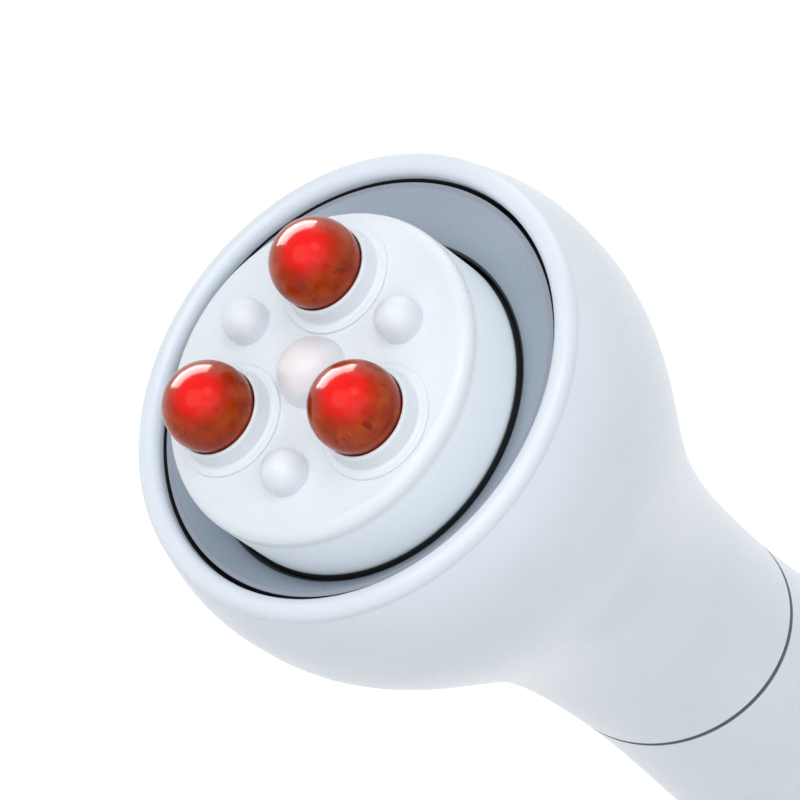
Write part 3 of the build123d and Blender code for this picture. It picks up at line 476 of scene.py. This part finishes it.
def moulded_plastic(name, colour, roughness, coat=0.0, depth=MOULD_DEPTH):
    tree, shader = new_finish(name, colour, roughness)
    cloud = grain(tree, MELT_CLOUD, MOULD_DETAIL)
    cloudy_colour(tree, shader, cloud, colour, MELT_SHADES)
    fine = grain(tree, MOULD_GRAIN, MOULD_DETAIL)
    uneven_gloss(tree, shader, fine, roughness - MOULD_SMOOTHER, roughness + MOULD_ROUGHER)
    relief(tree, shader, fine, depth)
    shader.inputs["Coat Weight"].default_value = coat
    shader.inputs["Coat Roughness"].default_value = COAT_ROUGHNESS


print("grain of the mould in mm:", MOULD_GRAIN / MM)

# %% [markdown]
# Plastics of the outside.
#
# The shells are a cool satin white, and the drum is a shade lighter and smoother, because it
# slides over skin. The ring in the opening is blue-grey. The panel on the handle is a glossy
# inlay, and its keys are more matte, so that a thumb doesn't slip. The finishes are named as the
# record names its material slots, so that each piece finds its own later.

# %% Plastics of the outside
SHELL_WHITE = (0.735, 0.788, 0.855)
DRUM_WHITE = (0.77, 0.818, 0.865)
RING_GREY = (0.290, 0.338, 0.402)
PANEL_GREY = (0.55, 0.60, 0.66)
KEY_WHITE = (0.78, 0.82, 0.86)
LENS_WHITE = (0.86, 0.90, 0.94)
DRUM_GRAIN_DEPTH = 0.002 * MM
RING_GRAIN_DEPTH = 0.0015 * MM

moulded_plastic("white_shell", SHELL_WHITE, roughness=0.30, coat=0.15)
moulded_plastic("white_drum", DRUM_WHITE, roughness=0.29, depth=DRUM_GRAIN_DEPTH)
moulded_plastic("ring_grey", RING_GREY, roughness=0.30, coat=0.2, depth=RING_GRAIN_DEPTH)
moulded_plastic("panel_grey", PANEL_GREY, roughness=0.22, coat=0.4)
moulded_plastic("button_white", KEY_WHITE, roughness=0.38)
moulded_plastic("lens_clear", LENS_WHITE, roughness=0.15, coat=0.6)
print("finishes so far:", len(finishes))

# %% [markdown]
# Plastics of the inside.
#
# Nobody sees the gears, the frames and the boards until the shells come off, but the part is also
# used with its pieces apart. Gears are pale natural acetal, the frames are dark filled nylon, and
# boards, cell wraps and heating discs have the colours that they usually have. They take the same
# function as the shells, because they are moulded or coated in the same way.

# %% Plastics of the inside
GEAR_IVORY = (0.78, 0.76, 0.68)
FRAME_BLACK = (0.035, 0.037, 0.042)
BOARD_GREEN = (0.02, 0.12, 0.055)
CELL_BLUE = (0.04, 0.12, 0.34)
HEATER_WHITE = (0.76, 0.75, 0.70)
DIODE_WHITE = (0.86, 0.84, 0.74)

moulded_plastic("gear_plastic", GEAR_IVORY, roughness=0.42)
moulded_plastic("frame_plastic", FRAME_BLACK, roughness=0.48)
moulded_plastic("board_green", BOARD_GREEN, roughness=0.30, coat=0.3)
moulded_plastic("cell_wrap", CELL_BLUE, roughness=0.28, coat=0.3)
moulded_plastic("heater_white", HEATER_WHITE, roughness=0.35)
moulded_plastic("diode_white", DIODE_WHITE, roughness=0.20, coat=0.3)
print("finishes so far:", len(finishes))

# %% [markdown]
# Soft rubber.
#
# The seal at the waist, the pad under the tail and the skin of the leads are soft and dull.
# Rubber differs from plastic by a deeper, coarser grain and by a trace of sheen at grazing
# angles. A plastic with a high roughness would look chalky instead, so rubber has its own
# function.

# %% Soft rubber
RUBBER_CLOUD = 6 * MM
RUBBER_SHADES = (0.95, 1.05)
RUBBER_GRAIN = 0.35 * MM
RUBBER_DEPTH = 0.02 * MM
RUBBER_SPREAD = 0.08
RUBBER_DETAIL = 4.0
RUBBER_SHEEN = 0.15


def soft_rubber(name, colour, roughness):
    tree, shader = new_finish(name, colour, roughness)
    cloud = grain(tree, RUBBER_CLOUD, RUBBER_DETAIL)
    cloudy_colour(tree, shader, cloud, colour, RUBBER_SHADES)
    fine = grain(tree, RUBBER_GRAIN, RUBBER_DETAIL)
    uneven_gloss(tree, shader, fine, roughness - RUBBER_SPREAD, roughness + RUBBER_SPREAD)
    relief(tree, shader, fine, RUBBER_DEPTH)
    shader.inputs["Sheen Weight"].default_value = RUBBER_SHEEN


soft_rubber("seal_dark", (0.12, 0.135, 0.155), roughness=0.5)
soft_rubber("pad_grey", (0.30, 0.32, 0.35), roughness=0.6)
soft_rubber("lead_red", (0.42, 0.02, 0.015), roughness=0.45)
print("finishes so far:", len(finishes))

# %% [markdown]
# Metals.
#
# Shafts, screws, the motor's can and the contact tracks are turned or drawn, and the tool leaves
# fine lines on them. Lines could be drawn with a wave pattern, but they would be too regular. So
# the noise is stretched along the handle into streaks, and they change the colour, the gloss and
# the relief together.

# %% Metals
METAL_STREAK = 0.4 * MM
METAL_STRETCH = (1, 1, 0.05)
METAL_SHADES = (0.86, 1.06)
METAL_DEPTH = 0.006 * MM
METAL_SMOOTHER = 0.08
METAL_ROUGHER = 0.10
METAL_DETAIL = 3.0


def drawn_metal(name, colour, roughness):
    tree, shader = new_finish(name, colour, roughness, metallic=1.0)
    lines = grain(tree, METAL_STREAK, METAL_DETAIL, METAL_STRETCH)
    cloudy_colour(tree, shader, lines, colour, METAL_SHADES)
    uneven_gloss(tree, shader, lines, roughness - METAL_SMOOTHER, roughness + METAL_ROUGHER)
    relief(tree, shader, lines, METAL_DEPTH)


drawn_metal("steel", (0.58, 0.59, 0.61), roughness=0.28)
drawn_metal("bronze", (0.52, 0.34, 0.16), roughness=0.40)
drawn_metal("track_metal", (0.78, 0.56, 0.22), roughness=0.22)
print("finishes so far:", len(finishes))

# %% [markdown]
# Places on the head.
#
# The eye reads this object by its thin dark lines, by the pale wall of the drum and by the glow
# on the balls. Each of them lies at a known height or distance from an axis. They could be
# painted with vertex colours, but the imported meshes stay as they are, and their long triangles
# have no points there. So a finish works out the place of each point itself: its height above a
# zero point along an axis, and its distance from that axis. The drum has its own axis, which
# leans 2 degrees to the front.

# %% The drum's axis
LEAN = math.radians(2.0)
LEAN_PIVOT = 71.3 * MM

drum_axis = Vector((0, -math.sin(LEAN), math.cos(LEAN)))
drum_zero = LIP_CENTRE + LEAN_PIVOT * (drum_axis - UP)
print("zero of the drum, in mm:", [round(c / MM, 2) for c in drum_zero])


# %% Height and distance
def height_above(tree, zero, axis):
    """Height of a point above `zero`, along the axis."""
    local = vector_step(tree, "SUBTRACT", object_place(tree), zero)
    return vector_step(tree, "DOT_PRODUCT", local, axis, output="Value")


def distance_from(tree, zero, axis):
    """Distance of a point from the axis through `zero`."""
    local = vector_step(tree, "SUBTRACT", object_place(tree), zero)
    across = vector_step(tree, "CROSS_PRODUCT", local, axis)
    return vector_step(tree, "LENGTH", across, output="Value")


def fade(tree, value, start, end):
    """1 where the value is at `start` or before it, 0 from `end` on, softly between."""
    return map_range(tree, value, start, end, 1.0, 0.0, "SMOOTHSTEP")


# %% [markdown]
# Painting through a mask.
#
# A painter covers the edge with tape and paints over what is already there. A mask from the last
# cell is that tape. The Mix node works the same way on a colour and on a single number, and its
# sockets share their names, so they are found by number here.

# %% Repaint
MIX_FACTOR = 0
NUMBER_BEFORE = 2
NUMBER_AFTER = 3
NUMBER_RESULT = 0
COLOUR_BEFORE = 6
COLOUR_AFTER = 7
COLOUR_RESULT = 2


def repaint(tree, shader, mask, colour, roughness=None):
    """Changes the base colour, and the roughness where one is given, where the mask is 1."""
    base = shader.inputs["Base Color"]
    paint = tree.nodes.new("ShaderNodeMix")
    paint.data_type = "RGBA"
    tree.links.new(mask, paint.inputs[MIX_FACTOR])
    tree.links.new(base.links[0].from_socket, paint.inputs[COLOUR_BEFORE])
    paint.inputs[COLOUR_AFTER].default_value = (*colour, 1)
    tree.links.new(paint.outputs[COLOUR_RESULT], base)
    if roughness is not None:
        gloss = shader.inputs["Roughness"]
        dull = tree.nodes.new("ShaderNodeMix")
        tree.links.new(mask, dull.inputs[MIX_FACTOR])
        tree.links.new(gloss.links[0].from_socket, dull.inputs[NUMBER_BEFORE])
        dull.inputs[NUMBER_AFTER].default_value = roughness
        tree.links.new(dull.outputs[NUMBER_RESULT], gloss)


def parts_of(name):
    """The node graph of a finish and its shader."""
    tree = finishes[name].node_tree
    return tree, tree.nodes["Principled BSDF"]


# %% [markdown]
# Groove and seam of the shells.
#
# Inside the lip the front shell has a narrow groove, where the grey ring sits, and at the waist
# two shells meet over a dark seal. The walls of such gaps face each other, so hardly any light
# gets out of them. Deeper or wider gaps would look as dark, but then the pieces would no longer
# fit. So shade is painted on the walls themselves: painted shade in the groove, by its height
# below the lip and its distance from the middle, and a lighter painted shade on the flanks of the
# seam, by how far above or below it they are.

# %% Gaps of the shells
# near-black painted shade for the walls of gaps; the ring and the drum use it too
GAP_PAINTED_SHADE = (0.012, 0.014, 0.018)
GAP_ROUGHNESS = 0.9
GROOVE_TOP = (-1.95 * MM, -1.65 * MM)
GROOVE_BOTTOM = (-12.0 * MM, -14.0 * MM)
GROOVE_WALL = (36.6 * MM, 36.8 * MM)
SEAM_CENTRE = Vector((0, 0, 104.0 * MM))
SEAM_FLANK = (0.56 * MM, 0.61 * MM)
# grey painted shade for the flanks of the waist seam
SEAM_PAINTED_SHADE = (0.22, 0.245, 0.28)
SEAM_ROUGHNESS = 0.8


def paint_shade_in_shell_gaps():
    tree, shader = parts_of("white_shell")
    height = height_above(tree, LIP_CENTRE, UP)
    below_lip = fade(tree, height, *GROOVE_TOP)
    near_ring = fade(tree, distance_from(tree, LIP_CENTRE, UP), *GROOVE_WALL)
    inside = math_step(tree, "MULTIPLY", below_lip, near_ring)
    groove = math_step(tree, "MULTIPLY", inside, fade(tree, height, *GROOVE_BOTTOM))
    # painted shade in the groove round the grey ring
    repaint(tree, shader, groove, GAP_PAINTED_SHADE, GAP_ROUGHNESS)
    from_seam = math_step(tree, "ABSOLUTE", height_above(tree, SEAM_CENTRE, UP))
    # painted shade on the flanks of the seam
    repaint(tree, shader, fade(tree, from_seam, *SEAM_FLANK), SEAM_PAINTED_SHADE, SEAM_ROUGHNESS)
    return len(tree.nodes)


print("nodes of the shells' finish:", paint_shade_in_shell_gaps())

# %% [markdown]
# Edges of the grey ring.
#
# The ring is a cone between two gaps: the groove round its outside and the running gap round the
# drum. Its bore and its outer wall get the same painted shade as the groove, and a narrow band
# along its outer edge gets a lighter painted shade for the shade of the lip. The outer edge is
# measured from the upright axis and the bore from the leaning one, because the two circles aren't
# parallel.

# %% Edges of the ring
RING_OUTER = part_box("bezel_ring")[1].x
RIM_BAND = (RING_OUTER - 0.80 * MM, RING_OUTER - 1.04 * MM)
# painted shade of the lip on a band along the ring's outer edge
RIM_PAINTED_SHADE = (0.270, 0.290, 0.355)
RING_WALL = (RING_OUTER - 0.03 * MM, RING_OUTER - 0.08 * MM)
RING_BORE = (28.6 * MM, 28.9 * MM)


def paint_shade_on_ring_edges():
    tree, shader = parts_of("ring_grey")
    from_middle = distance_from(tree, LIP_CENTRE, UP)
    # painted shade of the lip along the outer edge
    repaint(tree, shader, fade(tree, from_middle, *RIM_BAND), RIM_PAINTED_SHADE)
    bore = fade(tree, distance_from(tree, drum_zero, drum_axis), *RING_BORE)
    wall = fade(tree, from_middle, *RING_WALL)
    edges = math_step(tree, "MAXIMUM", bore, wall)
    # painted shade in the bore and on the outer wall
    repaint(tree, shader, edges, GAP_PAINTED_SHADE, GAP_ROUGHNESS)


paint_shade_on_ring_edges()
print("outer radius of the ring in mm:", round(RING_OUTER / MM, 2))

# %% [markdown]
# Wall, dome and foot of the drum.
#
# The drum is thick white plastic, and its wall looks paler than its angle to the lamps explains.
# Subsurface scattering is the usual way to show light passing through such plastic, but on this
# drum it only darkened the face. So the wall gets painted light instead: a lighter tint and a
# little painted glow of its own. The low dome in the middle gets a warmer tint, a painted
# reflection of the red balls round it, and the wall gets painted shade where it runs down into the
# gap.

# %% Colours of the drum
WALL_TOP = (5.5 * MM, 8.2 * MM)
WALL_FOOT = (-3.6 * MM, -5.0 * MM)
WALL_PAINTED_LIGHT = (0.88, 0.93, 0.97)
WALL_PAINTED_GLOW = 0.14
WALL_GLOW_COLOUR = (0.86, 0.94, 1.0, 1)
DOME_SPREAD = (2.0 * MM, 7.0 * MM)
DOME_PAINTED_REFLECTION = (0.86, 0.82, 0.85)
DRUM_GAP = (-5.2 * MM, -4.4 * MM)


def shade_drum():
    tree, shader = parts_of("white_drum")
    height = height_above(tree, drum_zero, drum_axis)
    wall = fade(tree, height, *WALL_TOP)
    # painted light: a paler tint on the wall
    repaint(tree, shader, wall, WALL_PAINTED_LIGHT)
    dome = fade(tree, distance_from(tree, drum_zero, drum_axis), *DOME_SPREAD)
    # painted reflection of the red balls on the dome
    repaint(tree, shader, dome, DOME_PAINTED_REFLECTION)
    # painted glow on the wall, fading out towards the gap
    glowing_wall = math_step(tree, "MULTIPLY", wall, fade(tree, height, *WALL_FOOT))
    painted_glow = math_step(tree, "MULTIPLY", glowing_wall, WALL_PAINTED_GLOW)
    tree.links.new(painted_glow, shader.inputs["Emission Strength"])
    shader.inputs["Emission Color"].default_value = WALL_GLOW_COLOUR
    # painted shade where the wall runs down into the gap
    repaint(tree, shader, fade(tree, height, *DRUM_GAP), GAP_PAINTED_SHADE, GAP_ROUGHNESS)
    return len(tree.nodes)


print("nodes of the drum's finish:", shade_drum())

# %% [markdown]
# Body of the stones.
#
# Each ball is turned from red-brown stone: cloudy, with a few thin darker veins. Both come from
# the same kind of noise at two sizes. Soft clouds run through a ramp of three colours, and where
# a finer and stretched noise dips low, a vein is painted over them. A marble pattern of bands
# would be quicker, but its stripes are too regular for these stones.

# %% Clouds and veins
STONE_COLOUR = (0.34, 0.03, 0.008)
STONE_CLOUD = 3.5 * MM
STONE_CLOUD_DETAIL = 3.0
STONE_STOPS = (
    (0.30, (0.270, 0.020, 0.002)),
    (0.52, (0.350, 0.038, 0.004)),
    (0.72, (0.440, 0.070, 0.010)),
)
VEIN_SIZE = 1.6 * MM
VEIN_DETAIL = 8.0
VEIN_STRETCH = (1.0, 1.0, 0.45)
VEIN_EDGE = (0.28, 0.42)
VEIN_COLOUR = (0.22, 0.014, 0.003)


def stone_body(tree, shader):
    cloud = grain(tree, STONE_CLOUD, STONE_CLOUD_DETAIL)
    tree.links.new(colours(tree, cloud, *STONE_STOPS), shader.inputs["Base Color"])
    vein = grain(tree, VEIN_SIZE, VEIN_DETAIL, VEIN_STRETCH)
    repaint(tree, shader, fade(tree, vein, *VEIN_EDGE), VEIN_COLOUR)


print("clouds and veins in mm:", STONE_CLOUD / MM, VEIN_SIZE / MM)

# %% [markdown]
# Glow of the stones.
#
# A heating disc warms each ball from below, and its crown glows red where the light comes
# through. A lamp inside the ball would need stone that light can pass, which is slow and noisy.
# So the glow is a soft spot on the surface: a redder paint and, nearer its middle, a little light
# of its own. Both fade with the height above the ball's own middle, along a direction that is a
# little off the crown.

# %% Glow
STONE_RADIUS = 7.15 * MM
GLOW_DIRECTION = Vector((0.33, -0.05, 0.94)).normalized()
GLOW_TOP = 1.00 * STONE_RADIUS
GLOW_PAINT_EDGE = 0.58 * STONE_RADIUS
GLOW_LIGHT_EDGE = 0.77 * STONE_RADIUS
GLOW_PAINT = (0.60, 0.008, 0.004)
GLOW_COLOUR = (1.0, 0.006, 0.010, 1)
GLOW_STRENGTH = 0.30


def stone_glow(tree, shader, middle):
    rise = height_above(tree, middle, GLOW_DIRECTION)
    repaint(tree, shader, fade(tree, rise, GLOW_TOP, GLOW_PAINT_EDGE), GLOW_PAINT)
    crown = fade(tree, rise, GLOW_TOP, GLOW_LIGHT_EDGE)
    shader.inputs["Emission Color"].default_value = GLOW_COLOUR
    strength = math_step(tree, "MULTIPLY", crown, GLOW_STRENGTH)
    tree.links.new(strength, shader.inputs["Emission Strength"])


print("the glow starts above a ball's middle by mm:", round(GLOW_PAINT_EDGE / MM, 2))

# %% [markdown]
# Polish of the stones.
#
# The balls are tumbled until they mirror the window, but not like glass: fine pores soften the
# reflection. Full specular light would lay a milky veil of the white room over the dark red, so
# the stone's own reflection is kept low, and a thin clear coat carries a sharper one.

# %% Polished stone
STONE_ROUGHNESS = 0.10
POLISH_GRAIN = 0.5 * MM
POLISH_DETAIL = 4.0
POLISH_SMOOTHEST = 0.13
POLISH_ROUGHEST = 0.19
POLISH_DEPTH = 0.002 * MM
STONE_SPECULAR = 0.12
STONE_COAT = 0.03
STONE_COAT_ROUGHNESS = 0.08


def stone_polish(tree, shader):
    fine = grain(tree, POLISH_GRAIN, POLISH_DETAIL)
    uneven_gloss(tree, shader, fine, POLISH_SMOOTHEST, POLISH_ROUGHEST)
    relief(tree, shader, fine, POLISH_DEPTH)
    shader.inputs["Specular IOR Level"].default_value = STONE_SPECULAR
    shader.inputs["Coat Weight"].default_value = STONE_COAT
    shader.inputs["Coat Roughness"].default_value = STONE_COAT_ROUGHNESS


def polished_stone(name, ball_node):
    low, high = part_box(ball_node)
    middle = Vector(((low.x + high.x) / 2, (low.y + high.y) / 2, high.z - STONE_RADIUS))
    tree, shader = new_finish(name, STONE_COLOUR, STONE_ROUGHNESS)
    stone_body(tree, shader)
    stone_glow(tree, shader, middle)
    stone_polish(tree, shader)


for ball_node in BALL_NODES:
    polished_stone(ball_node.replace("hot_", ""), ball_node)
print("finishes:", len(finishes))

# %% [markdown]
# Dress every piece.
#
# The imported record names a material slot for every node. Each piece could be dressed by hand, but
# one loop over the record can't forget a piece. Only the balls differ: each one gets the finish
# that knows where its own middle is.


# %% Dress every piece
def dress(piece, finish):
    if not piece.material_slots:
        piece.data.materials.append(finish)
    for material_slot in piece.material_slots:
        material_slot.material = finish


def finish_of(part):
    if part["node"] in BALL_NODES:
        return finishes[part["node"].replace("hot_", "")]
    return finishes[part["material_slot"]]


for part in frame["record"]["subparts"]:
    dress(nodes[part["node"]], finish_of(part))

# %% [markdown]
# New pieces.
#
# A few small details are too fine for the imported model, so they are made here. Each one starts as
# a flat or boxy bmesh in its real place, with the object at the origin, and rides on the body
# that carries it. Doubles are merged before the normals are worked out, so that every face points
# outwards. Sharp plastic edges don't exist, so each outline gets a narrow bevel that catches the
# light.

# %% Make and keep a piece
SAME_PLACE = 0.001 * MM


def keep_piece(name, shape, material, body):
    """Turns a bmesh into a finished piece that rides on a body."""
    bmesh.ops.remove_doubles(shape, verts=shape.verts, dist=SAME_PLACE)
    bmesh.ops.recalc_face_normals(shape, faces=shape.faces)
    mesh = bpy.data.meshes.new(name)
    shape.to_mesh(mesh)
    shape.free()
    mesh.materials.append(material)
    piece = bpy.data.objects.new(name, mesh)
    bpy.context.scene.collection.objects.link(piece)
    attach(piece, body)
    print(name, "faces:", len(mesh.polygons))
    return piece


def ease_edges(shape, edges, width, keep_apart):
    bmesh.ops.bevel(
        shape,
        geom=edges,
        offset=width,
        offset_type="OFFSET",
        segments=1,
        profile=0.5,
        affect="EDGES",
        material=-1,
        clamp_overlap=keep_apart,
    )


# %% [markdown]
# Symbols on the keys.
#
# The three round keys carry plain symbols, so that a thumb or an eye can tell them apart. On the
# real object they are a second shot of dark plastic that stands a hair proud of the cap. A
# picture of the symbols would be blurred close up. So each one is drawn flat in the XZ plane,
# gets its thickness, and is sunk into the cap's face.

# %% Thickness of a symbol
SYMBOL_LINE = 0.42 * MM
SYMBOL_PROUD = 0.05 * MM
SYMBOL_SUNK = 0.10 * MM
SYMBOL_EDGE = 0.03 * MM
CORNER_ANGLE = 0.5


def front_outline(shape, front):
    """The edges where the front face of a symbol turns into its sides."""
    outline = []
    for edge in shape.edges:
        in_front = all(abs(vert.co.y - front) < SAME_PLACE for vert in edge.verts)
        if in_front and len(edge.link_faces) == 2 and abs(edge.calc_face_angle(0)) > CORNER_ANGLE:
            outline.append(edge)
    return outline


def thicken(shape, front):
    """Gives a flat symbol its depth, from `front` back into the cap."""
    bmesh.ops.translate(shape, verts=shape.verts, vec=(0, front, 0))
    grown = bmesh.ops.extrude_face_region(shape, geom=shape.faces[:])
    moved = [part for part in grown["geom"] if isinstance(part, bmesh.types.BMVert)]
    bmesh.ops.translate(shape, verts=moved, vec=(0, SYMBOL_PROUD + SYMBOL_SUNK, 0))
    ease_edges(shape, front_outline(shape, front), SYMBOL_EDGE, keep_apart=True)


print("depth of a symbol in mm:", round((SYMBOL_PROUD + SYMBOL_SUNK) / MM, 3))


# %% A bar, and the face of a key
def flat_bar(shape, centre_x, centre_z, width, height, cuts=1):
    """A flat strip in the XZ plane, `cuts` faces long."""
    made = bmesh.ops.create_grid(shape, x_segments=1, y_segments=cuts, size=0.5)
    verts = made["verts"]
    upright = Matrix.Rotation(math.radians(90), 3, "X")
    bmesh.ops.scale(shape, verts=verts, vec=(width, height, 1))
    bmesh.ops.rotate(shape, verts=verts, cent=(0, 0, 0), matrix=upright)
    bmesh.ops.translate(shape, verts=verts, vec=(centre_x, 0, centre_z))
    return verts


def key_face(node):
    """How far forward a key's cap reaches, and the height of its middle."""
    low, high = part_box(node)
    return low.y, (low.z + high.z) / 2


def keep_symbol(key, shape):
    name = key + "_symbol"
    return keep_piece(name, shape, finishes["frame_plastic"], key + "_key")


for key in ("power", "heat", "speed"):
    print("height of the", key, "key in mm:", round(key_face(key + "_button")[1] / MM, 2))

# %% [markdown]
# Symbol for on and off.
#
# The usual sign is a ring that is open at the top, with a bar in the opening. The ring could be
# cut from a disc, but it is simpler to draw one short line across its stroke, at one end of the
# opening, and to spin that line round the middle until it reaches the other end.

# %% Power symbol
POWER_RADIUS = 1.75 * MM
POWER_OPENING = math.radians(70)
POWER_STEPS = 40
POWER_BAR_MIDDLE = 0.72 * POWER_RADIUS
POWER_BAR_LENGTH = 1.1 * POWER_RADIUS


def opening_end(radius):
    """The point at this radius where the ring's opening ends."""
    half = POWER_OPENING / 2
    return (math.sin(half) * radius, 0, math.cos(half) * radius)


def power_symbol():
    front, middle = key_face("power_button")
    shape = bmesh.new()
    inner = shape.verts.new(opening_end(POWER_RADIUS - SYMBOL_LINE / 2))
    outer = shape.verts.new(opening_end(POWER_RADIUS + SYMBOL_LINE / 2))
    bmesh.ops.spin(
        shape,
        geom=[inner, outer, shape.edges.new((inner, outer))],
        cent=(0, 0, 0),
        axis=(0, 1, 0),
        angle=2 * math.pi - POWER_OPENING,
        steps=POWER_STEPS,
        use_merge=False,
    )
    flat_bar(shape, 0, POWER_BAR_MIDDLE, SYMBOL_LINE, POWER_BAR_LENGTH)
    bmesh.ops.translate(shape, verts=shape.verts, vec=(0, 0, middle))
    thicken(shape, front - SYMBOL_PROUD)
    return keep_symbol("power", shape)


power_symbol()

# %% [markdown]
# Symbol for the heat.
#
# Warm air is drawn as three waves side by side. Each wave is a straight bar first, divided into
# many short faces, and then every row of points is moved sideways by a sine of its height. A
# curve with a bevel would give round wire, and the sign is flat.

# %% Heat symbol
WAVE_PITCH = 1.35 * MM
WAVE_HEIGHT = 3.3 * MM
WAVE_SWING = 0.34 * MM
WAVE_CUTS = 24


def heat_symbol():
    front, middle = key_face("heat_button")
    shape = bmesh.new()
    for column in (-1, 0, 1):
        wave = flat_bar(shape, column * WAVE_PITCH, 0, SYMBOL_LINE, WAVE_HEIGHT, WAVE_CUTS)
        for vert in wave:
            vert.co.x += WAVE_SWING * math.sin(2 * math.pi * vert.co.z / WAVE_HEIGHT)
    bmesh.ops.translate(shape, verts=shape.verts, vec=(0, 0, middle))
    thicken(shape, front - SYMBOL_PROUD)
    return keep_symbol("heat", shape)


heat_symbol()

# %% [markdown]
# Symbol for the speed.
#
# Three bars that grow from left to right say that each press turns the drum faster. They are
# three of the same flat bars, with their feet on one line.

# %% Speed symbol
BAR_PITCH = 1.25 * MM
BAR_WIDTH = 0.75 * MM
BAR_HEIGHTS = (1.2 * MM, 2.2 * MM, 3.2 * MM)


def speed_symbol():
    front, middle = key_face("speed_button")
    shape = bmesh.new()
    foot = middle - BAR_HEIGHTS[-1] / 2
    for column, height in enumerate(BAR_HEIGHTS):
        flat_bar(shape, (column - 1) * BAR_PITCH, foot + height / 2, BAR_WIDTH, height)
    thicken(shape, front - SYMBOL_PROUD)
    return keep_symbol("speed", shape)


speed_symbol()

# %% [markdown]
# Contacts in the charging socket.
#
# A flat reversible socket has a thin tongue with a row of plated contacts on both of its faces.
# They are strips pressed into the plastic, so that they stand out by a few hundredths of a
# millimetre. An Array modifier could repeat one strip, but two short loops put all of them in one
# mesh and their places in plain sight.

# %% Socket contacts
CONTACT_COUNT = 12
CONTACT_PITCH = 0.5 * MM
CONTACT_WIDTH = 0.26 * MM
CONTACT_LENGTH = 3.4 * MM
CONTACT_THICKNESS = 0.12 * MM
CONTACT_PROUD = 0.03 * MM
CONTACT_SETBACK = 0.4 * MM
CONTACT_EDGE = 0.02 * MM


def contact_strip(shape, place):
    strip = bmesh.ops.create_cube(shape, size=1.0)["verts"]
    bmesh.ops.scale(shape, verts=strip, vec=(CONTACT_WIDTH, CONTACT_THICKNESS, CONTACT_LENGTH))
    bmesh.ops.translate(shape, verts=strip, vec=place)


def socket_contacts():
    low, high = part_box("port_tongue")
    middle = (low + high) / 2
    z = low.z + CONTACT_SETBACK + CONTACT_LENGTH / 2
    shape = bmesh.new()
    for side, face_y in ((-1, low.y), (1, high.y)):
        y = face_y + side * (CONTACT_PROUD - CONTACT_THICKNESS / 2)
        for number in range(CONTACT_COUNT):
            x = middle.x + (number - (CONTACT_COUNT - 1) / 2) * CONTACT_PITCH
            contact_strip(shape, (x, y, z))
    ease_edges(shape, shape.edges[:], CONTACT_EDGE, keep_apart=False)
    return keep_piece("socket_contacts", shape, finishes["track_metal"], "housing")


socket_contacts()
